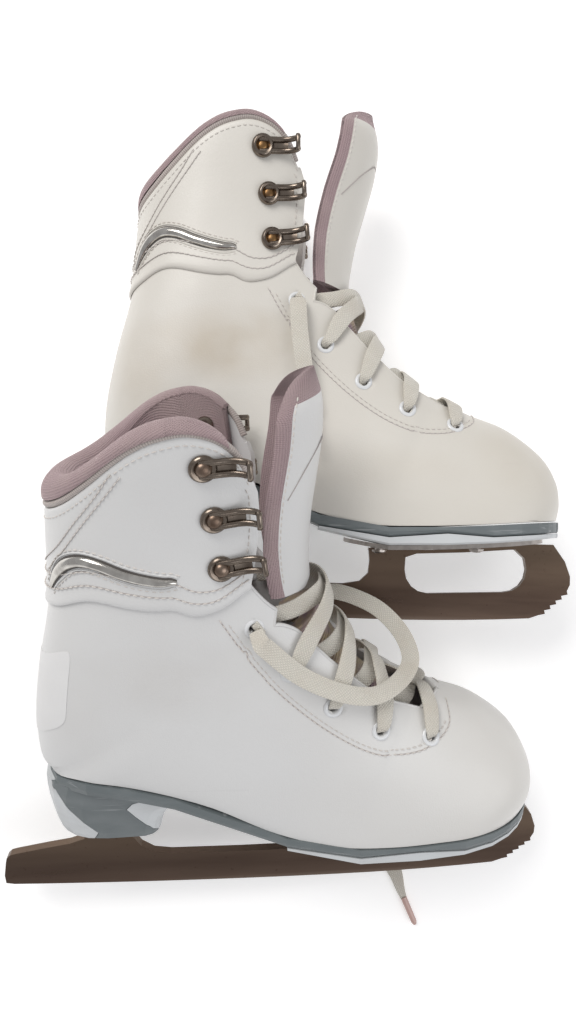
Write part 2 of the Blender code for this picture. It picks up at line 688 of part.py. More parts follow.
def edge_height(x):
    # The running edge: two rockers that meet at its lowest point
    d = x - 135 * BOOT_LENGTH / LAST[0]
    return d * d / (2 * (REAR_ROCKER if d < 0 else FRONT_ROCKER))


def plate_mesh(x0, x1, half, tip, under, name):
    # A steel plate that follows the underside of the sole, rounded at both ends
    rings = []
    n = 10
    for k in range(n + 1):
        u = 0.5 - 0.5 * math.cos(math.pi * k / n)
        x = x0 + (x1 - x0) * u
        end = min(u, 1 - u) * (x1 - x0)
        w = half * math.sqrt(1 - (1 - min(end / tip, 1)) ** 2 * 0.96)
        px = float(from_last([x, 0, 0])[0])
        top = under(x)
        rings.append([(px, -w, top), (px, -w, top - PLATE), (px, w, top - PLATE), (px, w, top)])
    return loft(rings, name)


def sole_plate_top(x):
    return float(sole_bottom(np.array(float(x)))) - GAP


def heel_plate_top(x):
    return heel_bottom() - GAP


SOLE_PLATE = {"from": 117.0, "to": 211.0, "half": 22 * MM, "tip": 24.0}
HEEL_PLATE = {"from": 9.0, "to": 45.0, "half": 14 * MM, "tip": 14.0}
SOLE_SCREWS = [(133.0, -13 * MM), (133.0, 13 * MM), (178.0, -13 * MM), (178.0, 13 * MM)]
HEEL_SCREWS = [(26.0, -8.5 * MM), (26.0, 8.5 * MM)]


def plates_and_screws(skate, steel):
    plans = [("sole_plate", SOLE_PLATE, sole_plate_top, SOLE_SCREWS), ("heel_plate", HEEL_PLATE, heel_plate_top, HEEL_SCREWS)]
    for name, size, under, screws in plans:
        plate = plate_mesh(size["from"], size["to"], size["half"], size["tip"], under, name)
        holes = []
        for k, (x, y) in enumerate(screws):
            px, top = float(from_last([x, 0, 0])[0]), under(x)
            holes.append(cylinder((px, y, top), (0, 0, 1), SCREW_SHANK / 2 + GAP * 1.4, PLATE * 4, 8))
            under_head = -PLATE - 2 * GAP
            profile = [(SCREW_SHANK / 2, -GAP), (SCREW_SHANK / 2, under_head), (SCREW_HEAD / 2, under_head),
                       (SCREW_HEAD * .44, under_head - 1.0 * MM), (SCREW_HEAD * .25, under_head - 1.6 * MM)]
            finish(f"{name.split('_')[0]}_screw_{k + 1}", turned(profile, (px, y, top), "screw"), skate, steel)
        finish(name, boolean(plate, holes), skate, steel)


def runner(skate, steel):
    # The blade in one plane: tail, heel stanchion, front stanchion, window and toe pick
    def px(x):
        return x * BOOT_LENGTH / LAST[0]

    def plate_under(x):
        return sole_plate_top(x) - PLATE - 1.7 * GAP

    def arc(x, z, radius, start, stop, count=5):
        return [(x + radius * math.cos(q), z + radius * math.sin(q)) for q in np.radians(np.linspace(start, stop, count))]

    tail, pick = -TAIL_REACH, BOOT_LENGTH + PICK_REACH
    bar = 16.6 * MM  # height of the blade between its stanchions
    heel_top = heel_plate_top(0) - PLATE - GAP
    outline = [(x, edge_height(x)) for x in np.linspace(tail + 4 * MM, px(206), 16)]
    # the drag teeth of the toe pick climb from the running edge to its nose
    foot, nose = np.array([px(210.5), 4.2 * MM]), np.array([pick - 1.4 * MM, 16 * MM])
    teeth = 5
    for k in range(teeth):
        low, high = foot + (nose - foot) * k / teeth, foot + (nose - foot) * (k + 1) / teeth
        outline += [tuple(low), (high[0] + 0.4 * MM, low[1] + 0.3 * (high[1] - low[1]))]
    outline += [tuple(nose), (pick, 19 * MM), (pick, 23 * MM), (px(222.6), 30 * MM), (px(217), plate_under(209))]
    outline += [(px(x), plate_under(x)) for x in (209, 200, 180, 160, 140, 129)]
    # the back of the front stanchion, the bar, the heel stanchion and the tail
    outline += [(px(129.6), 28 * MM), (px(129.0), 22 * MM), (px(125), 18 * MM), (px(117), bar), (px(84), bar), (px(52), bar + 0.6 * MM)]
    outline += [(px(44), 18.6 * MM), (px(38.5), 22.5 * MM), (px(35.0), 28 * MM), (px(34.0), heel_top), (px(14), heel_top)]
    outline += [(px(13), 28 * MM), (px(6), 25.6 * MM), (px(-4), 24 * MM), (tail + 8 * MM, 21.6 * MM)]
    outline += arc(tail + 6.0 * MM, 16.6 * MM, 4.6 * MM, 90, 180, 4) + [(tail, 9 * MM), (tail + 0.2 * MM, 4.6 * MM)]
    thick = BLADE_THICKNESS / 2
    blade = prism(outline, -thick, thick, "runner")
    # the window between the running edge and the sole plate
    low, r = 13 * MM, 11 * MM
    left, right = px(146.5), px(204.5)
    window = arc(left + r, low + r, r, 180, 270) + arc(right - r, low + 1.6 * MM + r, r, 270, 360)
    window += [(right - 1.0 * MM, 31 * MM), (px(199), plate_under(199) - 1.8 * MM), (px(175), plate_under(175) - 1.8 * MM),
               (px(152), plate_under(152) - 1.8 * MM), (left + 0.3 * MM, 30 * MM)]
    return finish("runner", boolean(blade, [prism(window, -10 * MM, 10 * MM)]), skate, steel)


# ---------- hooks, trim and laces ----------

def hook(skate, number, side, place, chrome):
    # A speed hook: a domed rivet, and a strap that rises forward and curls back over the lace
    row, around = locate(*place)
    p, n = skin(row, around, side, CUFF_RAISE + GAP)
    ahead, _ = skin(row, around + 0.05, side, CUFF_RAISE + GAP)
    forward = ahead - p
    forward[2] *= 0.3
    forward -= n * np.dot(forward, n)
    forward /= np.linalg.norm(forward)
    up = np.cross(n, forward)
    r = HOOK_BUTTON / 2
    profile = [(-r, .25, 1.2, .5), (-.80 * r, .75, 3.2, .9), (-.4 * r, 1.35, 4.7, 1.4), (0, 1.75, 5.0, 1.75), (.45 * r, 1.6, 4.7, 1.5),
               (.85 * r, 1.2, 3.9, 1.1), (7, 1.1, 3.7, .8), (9.5, 1.9, 3.8, .75), (12, 3.2, 3.8, .75), (14.2, 4.6, 3.8, .75), (15.4, 6.0, 3.6, .6)]
    rings = []
    for k, (f, h, w, t) in enumerate(profile):
        f = f if k > 5 else f / MM if abs(f) < 0.1 else f
        centre = p + forward * f * MM + n * (h + 0.3) * MM
        w, t = w * MM * HOOK_WIDTH / (7.6 * MM), t * MM
        rings.append([centre + up * w * a + n * t * b for a, b in
                      ((-.9, -1), (.9, -1), (1, 0), (.55, .85), (-.55, .85), (-1, 0))])
    name = f"hook_{'right' if side < 0 else 'left'}_{number}"
    return finish(name, loft(rings, name), skate, chrome)


def trim(skate, side, chrome):
    # The S-shaped chrome inlay low on the back of the cuff
    line = line_on_last(TRIM)
    rings = []
    for t in np.linspace(0, 1, 11):
        row, around = line(t)
        p, n = skin(row, around, side, CUFF_RAISE + GAP)
        row2, around2 = line(min(t + 0.02, 1.0))
        row1, around1 = line(max(t - 0.02, 0.0))
        along = skin(row2, around2, side)[0] - skin(row1, around1, side)[0]
        along /= np.linalg.norm(along)
        wide = np.cross(n, along)
        w = np.interp(t, [0, .2, .5, .85, 1], [1.0, 2.9, 2.6, 2.2, .6]) * MM
        h = TRIM_HEIGHT * np.interp(t, [0, .15, .85, 1], [.4, 1, 1, .4])
        rings.append([p + wide * w * a + n * h * b for a, b in
                      ((-1, .12), (1, .12), (.9, .55), (.3, 1), (-.3, 1), (-.9, .55))])
    name = f"trim_{'right' if side < 0 else 'left'}"
    return finish(name, loft(rings, name), skate, chrome)


def crossing(level, start_side, above):
    # The lace from one eyelet, over its facing, across the throat and under to the next eyelet
    here, there = locate(*EYELETS[level]), locate(*EYELETS[level + 1])
    out = LACE / 2 + 0.8 * MM
    under = -(LEATHER + LACE / 2 + 0.9 * MM)

    def at(row, around, side, lift):
        return skin(row, around, side, lift)[0]

    edge1, edge2 = float(facing(here[0])), float(facing(there[0]))
    step = there[0] - here[0]
    middle = (-0.4 if above else -4.0) * MM
    return [
        at(here[0], here[1], start_side, under),
        at(here[0], here[1], start_side, -LEATHER * .5),
        at(here[0], here[1], start_side, 1.2 * MM),
        at(here[0] + step * .05, here[1] + 0.035, start_side, out + 0.6 * MM),
        at(here[0] + step * .15, (here[1] + edge1) / 2 + 0.03, start_side, out + 0.3 * MM),
        at(here[0] + step * .25, edge1 + 0.03, start_side, out - 0.6 * MM),
        at(here[0] + step * .36, (edge1 + 1) / 2 + .03, start_side, max(middle, -1.0 * MM)),
        at(here[0] + step * .42, 1.0, start_side, middle),
        at(here[0] + step * .54, (edge2 + 1) / 2 + .03, -start_side, under * .45 + middle * .5),
        at(here[0] + step * .68, edge2 + 0.04, -start_side, under + 0.3 * MM),
        at(here[0] + step * .98, there[1] + 0.02, -start_side, under - 0.1 * MM),
    ]


def resampled(points, count):
    return from_last(smooth(points, np.linspace(0, 1, count)))


def free_end(skate, letter, side, points, cord, tip):
    # A loose end of the lace from the top eyelet of one side, with the aglet at its tip
    row, around = locate(*EYELETS[-1])
    start = [skin(row, around, side, lift)[0] for lift in (1.2 * MM + LACE / 7, 3.0 * MM)]
    spans = np.linalg.norm(np.diff(np.array(points), axis=0), axis=1).sum() * MM
    path = start + list(resampled(points, round(spans / (2.4 * LACE))))
    finish("lace_end_" + letter, tube(path, LACE, "lace_end"), skate, cord)
    along = path[-1] - path[-2]
    along /= np.linalg.norm(along)
    ends = [path[-1] + along * d for d in (GAP, AGLET["length"])]
    finish("aglet_" + letter, tube(ends, AGLET["width"], "aglet"), skate, tip)


def lacing(skate):
    # One cord: up the one side from the bottom bar and up the other, through every eyelet
    halves = []
    for first in (-1, 1):
        side, route = first, []
        for level in range(len(EYELETS) - 1):
            route += crossing(level, side, (level + (first > 0)) % 2 == 0)
            side = -side
        row, around = locate(*EYELETS[-1])
        for lift in (-(LEATHER + LACE / 2 + 0.6 * MM), -LEATHER * .5, 1.2 * MM):
            route.append(skin(row, around, side, lift)[0])
        if side * skate["side"] < 0 and skate["name"] == "left":
            route += list(resampled(TUCKED_END, 8))
        halves.append(route)
    row, around = locate(*EYELETS[0])
    depth = -(LEATHER + LACE / 2 + 2.2 * MM)
    bar = [skin(row - .006, around + share * (1 - around), side, depth)[0]
           for side, shares in ((-1, (.25, .6, .95)), (1, (.6, .25))) for share in shares]
    points = halves[0][::-1] + bar + halves[1]
    return points


# ---------- putting the pair together ----------

def build_skate(name, side, materials, parts, with_laces=True):
    root = bpy.data.objects.new(name + "_skate", None)
    parts.objects.link(root)
    lying = LYING[name]
    skate = {"name": name, "side": side, "root": root, "parts": parts}
    runner(skate, materials["steel"])
    plates_and_screws(skate, materials["steel"])
    heel_and_outsole(skate, materials["grey"], materials["white_rubber"])
    midsole_wave(skate, materials["white_rubber"])
    boot_shell(skate, materials["leather"])
    ankle_cuff(skate, materials["leather"])
    liner(skate, materials["fabric"])
    footbed(skate, materials["fabric"])
    tongue_base(skate, materials["leather"])
    tongue(skate, materials["leather"])
    for where in (-1, 1):
        trim(skate, where, materials["chrome"])
        for number, place in enumerate(HOOKS):
            hook(skate, number + 1, where, place, materials["gunmetal"])
    if with_laces:
        finish("lace", tube(lacing(skate), LACE, "lace"), skate, materials["lace"])
        ends = [("a", 1, HANGING_END)] if name == "left" else [("a", -1, NEAR_END), ("b", 1, FAR_END)]
        for letter, where, points in ends:
            free_end(skate, letter, where, points, materials["lace"], materials["aglet"])
    root.rotation_euler = Euler([math.radians(v) for v in lying["turn"]])
    root.location = (*lying["at"], 0)
    return root


def corners(root):
    # Every point of a skate but those of its loose lace ends
    bpy.context.view_layer.update()
    graph = bpy.context.evaluated_depsgraph_get()
    found = []
    for obj in root.children_recursive:
        if obj.type == "MESH" and "lace_end" not in obj.name and "aglet" not in obj.name:
            world = obj.matrix_world
            found.append(np.array([world @ v.co for v in obj.evaluated_get(graph).data.vertices]))
    return np.concatenate(found)


def main():
    for obj in list(bpy.data.objects):
        bpy.data.objects.remove(obj, do_unlink=True)
    parts = bpy.data.collections.new("ice_skates")
    cutters = bpy.data.collections.new("cutters")
    bpy.context.scene.collection.children.link(parts)
    bpy.context.scene.collection.children.link(cutters)
    materials = {
        "steel": material("blade steel", (.36, .33, .30), .32, 1.0),
        "grey": material("grey sole", (.30, .34, .37), .5),
        "white_rubber": material("white sole", (.78, .79, .78), .45),
        "leather": material("white leather", (.84, .83, .82), .42),
        "fabric": material("mauve lining", (.48, .38, .41), .9),
        "chrome": material("chrome", (.75, .75, .76), .12, 1.0),
        "gunmetal": material("gunmetal", (.28, .25, .23), .25, 1.0),
        "lace": material("lace", (.80, .76, .66), .85),
        "aglet": material("aglet", (.42, .30, .28), .4),
    }
    roots = [build_skate("left", 1, materials, parts), build_skate("right", -1, materials, parts)]
    for root in roots:
        root.location.z -= corners(root)[:, 2].min()
    both = np.concatenate([corners(root) for root in roots])
    middle = (both.min(axis=0) + both.max(axis=0)) / 2
    for root in roots:
        root.location.x -= middle[0]
        root.location.y -= middle[1]
    bpy.context.view_layer.update()


main()
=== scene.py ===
import math
import bpy
import bmesh
import numpy as np
from mathutils import Euler, Matrix, Vector


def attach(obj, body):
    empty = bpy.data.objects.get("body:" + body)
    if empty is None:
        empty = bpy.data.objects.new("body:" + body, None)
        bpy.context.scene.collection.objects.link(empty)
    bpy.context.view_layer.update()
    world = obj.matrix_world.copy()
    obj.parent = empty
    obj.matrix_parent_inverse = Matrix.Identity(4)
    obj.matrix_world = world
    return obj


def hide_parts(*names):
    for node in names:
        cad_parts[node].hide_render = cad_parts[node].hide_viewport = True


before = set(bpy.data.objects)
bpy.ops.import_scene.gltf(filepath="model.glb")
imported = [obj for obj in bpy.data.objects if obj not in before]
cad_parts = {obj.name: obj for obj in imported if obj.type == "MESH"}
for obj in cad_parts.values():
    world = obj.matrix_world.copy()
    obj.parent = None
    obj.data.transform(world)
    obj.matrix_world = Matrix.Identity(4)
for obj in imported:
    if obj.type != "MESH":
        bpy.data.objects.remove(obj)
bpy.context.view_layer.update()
mm = 0.001

# Where each skate lies: its turn in degrees and the point under the back of its heel, in metres.
# mirror is -1 on the left skate, which is the right one mirrored.
skates = {
    "left": {"turn": (-86.08, -4.58, -1.53), "at": (-0.0921651, -0.0577584, 0.0203881), "mirror": -1, "open": 7.0, "slip": 6.0},
    "right": {"turn": (-65.7, 0.72, 1.61), "at": (-0.1075651, -0.1863584, 0.0194808), "mirror": 1, "open": 0.0, "slip": 0.0},
}
for name, skate in skates.items():
    skate["name"] = name
    skate["euler"] = Euler([math.radians(v) for v in skate["turn"]])
    skate["matrix"] = np.array(Matrix.Translation(skate["at"]) @ skate["euler"].to_matrix().to_4x4())

# ---------- camera ----------
cameraData = bpy.data.cameras.new("view")
cameraData.sensor_fit = "VERTICAL"
cameraData.sensor_height = 36
cameraData.lens = 25.3258
cameraData.clip_start = 0.01
camera = bpy.data.objects.new("view", cameraData)
camera.location = (-0.01867, -0.04417, 0.38016)
camera.rotation_euler = (0.0978, -0.04835, 0.00216)
bpy.context.scene.collection.objects.link(camera)
bpy.context.scene.camera = camera

# ---------- the last ----------
last = {
    "length": 216.5, "width": 69 / 70.4, "seat": 44.85, "seatZ": 46.9, "toeSwing": 1.5,
    "heelX": 2.8, "heelRound": 26.0, "ballX": 172.0, "toeX": 216.2, "heelRow": 11 / 17,
}
# each row of the last from the toe to the top: back x and z, ridge x and z, half width, squareness
lastRows = np.array([
    (215.2, 51, 216.3, 56.5, 35, .87), (210.3, 50.8, 216.3, 62.5, 35, .87), (202.2, 50.2, 214.2, 71.5, 35, .87),
    (190, 49.3, 207, 82.5, 35, .87), (173, 48, 191, 94.5, 35, .87), (150, 46.9, 173, 101.5, 35.2, .84),
    (126, 47.2, 157, 110, 33.5, .76), (100, 53, 144, 120, 31, .70), (72, 66.3, 134, 132.5, 29.5, .68),
    (44, 75.5, 128.5, 143, 29, .68), (20, 79.6, 124, 152.5, 29, .69), (2.8, 78, 120.5, 163, 29, .71),
    (0, 97, 118, 171, 29.5, .74), (3.8, 125, 114.5, 184, 30.2, .80), (10.6, 155, 112, 198, 31.4, .84),
    (13.2, 184, 110.5, 213, 34.2, .86), (15.2, 212, 109.5, 229, 38, .87), (16.6, 236, 109, 246, 41, .87)])
rowCount = len(lastRows) - 1
lines = {  # x and z in the side view, from the back of the boot to the front
    "cuffSeam": [(9.9, 155.5), (18.5, 158.5), (33.5, 163.5), (55, 160), (70, 157), (79, 158.5), (88, 164.5)],
    "cuffRim": [(12.6, 191.5), (22, 197), (34, 206), (50, 219), (61, 224), (71, 225.3), (80, 222.5), (86.5, 216.5), (90.5, 208)],
    "facing": [(90, 213), (93.5, 203), (94, 195), (93.5, 185), (92, 173), (90.5, 166), (100.5, 154.5), (113, 139.5),
               (122, 130.5), (131, 122), (148, 109), (162, 102.3)],
    "eyelets": [(165, 93), (143, 99.5), (123, 111.5), (105.5, 128), (92, 148)],
    "hooks": [(80, 174.8), (78, 194.5), (75, 214.3)],
    "trim": [(16.5, 164), (19.5, 170), (24, 175.5), (30, 178), (37, 177), (45, 173.8), (53, 171.4), (60, 170.4), (64, 170.2)],
    "tongue": [(163, 99), (149, 106.5), (136.5, 116.5), (127, 128), (120.5, 141), (116.5, 154), (115, 168),
               (115.5, 184), (117.5, 200), (119.5, 216), (119.5, 231), (116, 243.5)],
}
wall = {"leather": 3.0, "cuffRaise": 1.0, "lining": 5.0, "gap": 0.3, "tongue": 6.0, "tongueHalf": 23.5, "tongueDepth": -7.6}


def smooth(values, at):
    # Catmull-Rom curve through evenly spaced values, read from 0 to 1
    v = np.asarray(values, float)
    n = len(v) - 1
    u = np.clip(np.asarray(at, float), 0, 1) * n
    i = np.minimum(u.astype(int), n - 1)
    f = (u - i)
    if v.ndim > 1:
        f = f.reshape(f.shape + (1,) * (v.ndim - 1))
    ends = np.concatenate([[2 * v[0] - v[1]], v, [2 * v[-1] - v[-2]]])
    p0, p1, p2, p3 = ends[i], ends[i + 1], ends[i + 2], ends[i + 3]
    return 0.5 * (2 * p1 + (p2 - p0) * f + (2 * p0 - 5 * p1 + 4 * p2 - p3) * f ** 2 + (3 * p1 - p0 - 3 * p2 + p3) * f ** 3)


def rowStart(s, power, bx):
    # The angle where a row starts: a quarter turn on the sole, nothing up the back line
    t = np.clip((bx - last["heelX"]) / last["heelRound"], 0, 1)
    plan = np.sqrt(1 - (1 - t) ** 2) * np.interp(s * rowCount, [0, 6, 8, 10], [1, 1, 0.93, 0.88])
    return np.where(s < last["heelRow"], np.arcsin(plan ** (1 / power)), 0.0)


def fromLast(p):
    # Millimetres on the last to metres on the skate; the toe swings a little inwards
    p = np.asarray(p, float)
    x = p[..., 0]
    swing = np.clip((x - 80) / 130, 0, 1)
    swing = last["toeSwing"] * swing * swing * (3 - 2 * swing)
    return np.stack([x, (p[..., 1] + swing) * last["width"], last["seat"] + p[..., 2] - last["seatZ"]], -1) * mm


def form(s, a):
    # The last at row s (0 toe, 1 top) and a around it (0 sole or back, 1 ridge)
    s, a = np.broadcast_arrays(np.asarray(s, float), np.asarray(a, float))
    bx, bz, fx, fz, half, power = (smooth(lastRows[:, k], s) for k in range(6))
    t = np.clip((bx - last["ballX"]) / (last["toeX"] - last["ballX"]), 0, 1)
    half = half * (1 - t ** 2.3) ** (1 / 2.1)
    start = rowStart(s, power, bx)
    turn = start + (math.pi - start) * a
    across = -np.sign(np.cos(turn)) * np.abs(np.cos(turn)) ** power
    first = -np.cos(start) ** power
    q = (across - first) / (1 - first)
    return np.stack([bx + q * (fx - bx), half * np.abs(np.sin(turn)) ** power, bz + q * (fz - bz)], -1)


def locate(x, z):
    # The row and the place around it of a point of the side view
    s = np.linspace(0, 1, 4001)
    bx, bz, fx, fz = (smooth(lastRows[:, k], s) for k in range(4))
    off = (x - bx) * (fz - bz) - (z - bz) * (fx - bx)
    q = ((x - bx) * (fx - bx) + (z - bz) * (fz - bz)) / ((fx - bx) ** 2 + (fz - bz) ** 2)
    crossed = np.nonzero((off[:-1] * off[1:] <= 0) & (q[:-1] > -0.06) & (q[:-1] < 1.06))[0]
    if not len(crossed):
        raise ValueError(f"({x}, {z}) is off the last")
    k = crossed[0]
    share = off[k] / (off[k] - off[k + 1])
    row = s[k] + share * (s[k + 1] - s[k])
    q = min(max(q[k] + share * (q[k + 1] - q[k]), 0), 1)
    power = float(smooth(lastRows[:, 5], row))
    start = float(rowStart(row, power, float(smooth(lastRows[:, 0], row))))
    first = -math.cos(start) ** power
    across = q * (1 - first) + first
    turn = math.acos(max(-1.0, min(1.0, -math.copysign(abs(across) ** (1 / power), across))))
    return row, (turn - start) / (math.pi - start)


def skin(s, a, side, lift=0.0):
    # A point of the boot's surface on one side (-1 right, +1 left), lifted along its normal in mm
    s, a, side, lift = np.broadcast_arrays(*(np.asarray(v, float) for v in (s, a, side, lift)))

    def point(s, a):
        p = form(s, a)
        return fromLast(np.stack([p[..., 0], p[..., 1] * side, p[..., 2]], -1))

    step = 1e-3
    along = point(np.clip(s + step, 0, 1), a) - point(np.clip(s - step, 0, 1), a)
    inside = np.clip(a, 0.004, 0.996)
    around = point(s, inside + step) - point(s, inside - step)
    normal = np.cross(around, along) * -side[..., None]
    normal = normal / np.maximum(np.linalg.norm(normal, axis=-1, keepdims=True), 1e-12)
    return point(s, a) + normal * lift[..., None] * mm, normal


def placed(points):
    # Points of the side view as rows and places around them
    return np.array([locate(x, z) for x, z in points])


facingFound = np.array(sorted(map(tuple, placed(lines["facing"]))))
facingRows = np.append(5 / rowCount, facingFound[:, 0])
facingPlaces = np.append(1.0, facingFound[:, 1])


def facing(s):
    # How far round a row reaches before its front edge
    return np.interp(s, facingRows, facingPlaces)


def rowsAlong(points):
    found = smooth(placed(points), np.linspace(0, 1, 160))
    share = found[:, 1] / facing(found[:, 0])
    return lambda k: np.interp(k, share, found[:, 0])


seamRow, rimRow = rowsAlong(lines["cuffSeam"]), rowsAlong(lines["cuffRim"])
eyelets = placed(lines["eyelets"])
hooks = placed(lines["hooks"])
print("last worked out")


# ---------- making pieces ----------
def toWorld(points, skate):
    p = np.asarray(points, float) * np.array([1, skate["mirror"], 1])
    m = skate["matrix"]
    return p @ m[:3, :3].T + m[:3, 3]


def gridFaces(rows, places, wrapRows=False, wrapPlaces=False):
    # Quads of a rows by places grid, as an array of corner numbers
    i = np.arange(rows if wrapRows else rows - 1)[:, None]
    j = np.arange(places if wrapPlaces else places - 1)[None, :]
    i2, j2 = (i + 1) % rows, (j + 1) % places
    return np.stack([i * places + j, i * places + j2, i2 * places + j2, i2 * places + j], -1).reshape(-1, 4)


def piece(skate, name, points, faces, material, body=None, uv=None, slot=None, replaces=(), closed=True, smoothAngle=40):
    # A mesh in the row frame, welded, with its faces outwards; uv has one pair for each point
    points = np.asarray(points, float).reshape(-1, 3)
    world = toWorld(points, skate) if skate else points
    mesh = bpy.data.meshes.new(name)
    mesh.from_pydata(world.tolist(), [], np.asarray(faces).tolist() if not isinstance(faces, list) else faces)
    if uv is not None:
        layer = mesh.uv_layers.new(name="UVMap")
        corners = np.empty(len(mesh.loops), np.int32)
        mesh.loops.foreach_get("vertex_index", corners)
        layer.data.foreach_set("uv", np.asarray(uv, float).reshape(-1, 2)[corners].astype(np.float32).ravel())
    bm = bmesh.new()
    bm.from_mesh(mesh)
    bmesh.ops.remove_doubles(bm, verts=bm.verts, dist=1e-6)
    bmesh.ops.dissolve_degenerate(bm, dist=1e-7, edges=bm.edges)
    if closed:
        bmesh.ops.recalc_face_normals(bm, faces=bm.faces)
        if bm.calc_volume(signed=True) < 0:
            bmesh.ops.reverse_faces(bm, faces=bm.faces)
    bm.to_mesh(mesh)
    bm.free()
    mesh.shade_smooth()
    mesh.set_sharp_from_angle(angle=math.radians(smoothAngle))
    mesh.materials.append(material)
    full = (skate["name"] + "_" if skate else "") + name
    obj = bpy.data.objects.new(full, mesh)
    bpy.context.scene.collection.objects.link(obj)
    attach(obj, body or skate["name"] + "_skate")
    if replaces:
        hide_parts(*[skate["name"] + "_" + n for n in replaces])
    return obj


def ringsPiece(skate, name, rings, material, uv=None, **facts):
    # A closed solid through rings of points: an array of rings by points, capped by quads across it
    rings = np.asarray(rings, float)
    count, n = rings.shape[:2]
    faces = gridFaces(count, n, wrapPlaces=True).tolist()
    half = n // 2
    for base in (0, (count - 1) * n):
        faces += [[base + j, base + (j + 1) % n, base + (n - 2 - j) % n, base + (n - 1 - j) % n] for j in range(half - 1)]
    return piece(skate, name, rings, faces, material, uv=uv, **facts)


def frames(path, normals=None, up=(0, 0, 1)):
    # Unit tangent, side and normal along a path
    path = np.asarray(path, float)
    t = np.gradient(path, axis=0)
    t /= np.maximum(np.linalg.norm(t, axis=1, keepdims=True), 1e-12)
    n = np.tile(np.asarray(up, float), (len(path), 1)) if normals is None else np.asarray(normals, float)
    n = n - t * np.sum(n * t, axis=1, keepdims=True)
    n /= np.maximum(np.linalg.norm(n, axis=1, keepdims=True), 1e-12)
    return t, np.cross(n, t), n


def distance(path):
    return np.append(0, np.cumsum(np.linalg.norm(np.diff(path, axis=0), axis=1)))


def evenly(path, step, *others):
    # The path and whatever goes with it, read again at even steps in metres
    d = distance(path)
    count = max(int(round(d[-1] / step)), 2) + 1
    at = np.linspace(0, d[-1], count)
    read = [np.stack([np.interp(at, d, v[:, k]) for k in range(v.shape[1])], -1) for v in (path, *others)]
    return read


def sweep(skate, name, path, normals, halfWidth, halfThick, material, sides=10, power=1.0, **facts):
    # A section carried along a path: width across the normal, thickness along it, rounded by power
    path = np.asarray(path, float)
    _, across, normal = frames(path, normals)
    turn = np.linspace(0, 2 * math.pi, sides, endpoint=False) + math.pi / sides
    c, s = np.cos(turn), np.sin(turn)
    c, s = np.sign(c) * np.abs(c) ** power, np.sign(s) * np.abs(s) ** power
    w = np.broadcast_to(halfWidth, (len(path),))[:, None, None]
    h = np.broadcast_to(halfThick, (len(path),))[:, None, None]
    rings = path[:, None] + across[:, None] * c[None, :, None] * w + normal[:, None] * s[None, :, None] * h
    d = distance(path)
    uv = np.stack(np.broadcast_arrays(d[:, None], (c * np.ravel(w)[:, None])), -1)
    return ringsPiece(skate, name, rings, material, uv=uv, **facts)


def stitches(skate, name, path, normals, material, pitch=2.6, length=1.9, width=0.55, height=0.35, **facts):
    # A row of short raised stitches: one small ellipsoid set at even steps along a path
    path, normals = evenly(np.asarray(path, float), pitch * mm, np.asarray(normals, float))
    t, across, n = frames(path, normals)
    polar = np.linspace(0, math.pi, 5)[1:-1]
    turn = np.linspace(0, 2 * math.pi, 6, endpoint=False)
    ball = [(-1, 0, 0)] + [(-math.cos(p), math.sin(p) * math.cos(q), math.sin(p) * math.sin(q)) for p in polar for q in turn] + [(1, 0, 0)]
    ball = np.array(ball) * [length / 2 * mm, width / 2 * mm, height * mm]
    faces = [[0, 1 + (j + 1) % 6, 1 + j] for j in range(6)]
    faces += [[1 + r * 6 + j, 1 + r * 6 + (j + 1) % 6, 1 + (r + 1) * 6 + (j + 1) % 6, 1 + (r + 1) * 6 + j] for r in range(2) for j in range(6)]
    faces += [[19, 13 + j, 13 + (j + 1) % 6] for j in range(6)]
    points = (path[:, None] + t[:, None] * ball[None, :, :1] + across[:, None] * ball[None, :, 1:2] + n[:, None] * ball[None, :, 2:])
    every = [[k + i * len(ball) for k in f] for i in range(len(path)) for f in faces]
    return piece(skate, name, points, every, material, **facts)


def lathe(skate, name, profile, centre, axis, material, steps=28, **facts):
    # A profile of radius and height in mm, turned about an axis; both ends of it lie on the axis
    profile = np.asarray(profile, float) * mm
    axis = np.asarray(axis, float) / np.linalg.norm(axis)
    helper = np.array([1.0, 0, 0]) if abs(axis[0]) < 0.8 else np.array([0, 1.0, 0])
    u = np.cross(axis, helper)
    u /= np.linalg.norm(u)
    v = np.cross(axis, u)
    turn = np.linspace(0, 2 * math.pi, steps, endpoint=False)
    ring = np.cos(turn)[:, None] * u + np.sin(turn)[:, None] * v
    points = np.asarray(centre) + profile[:, None, :1] * ring[None] + profile[:, None, 1:] * axis
    faces = gridFaces(len(profile), steps, wrapPlaces=True)
    return piece(skate, name, points, faces, material, **facts)
print("helpers ready")


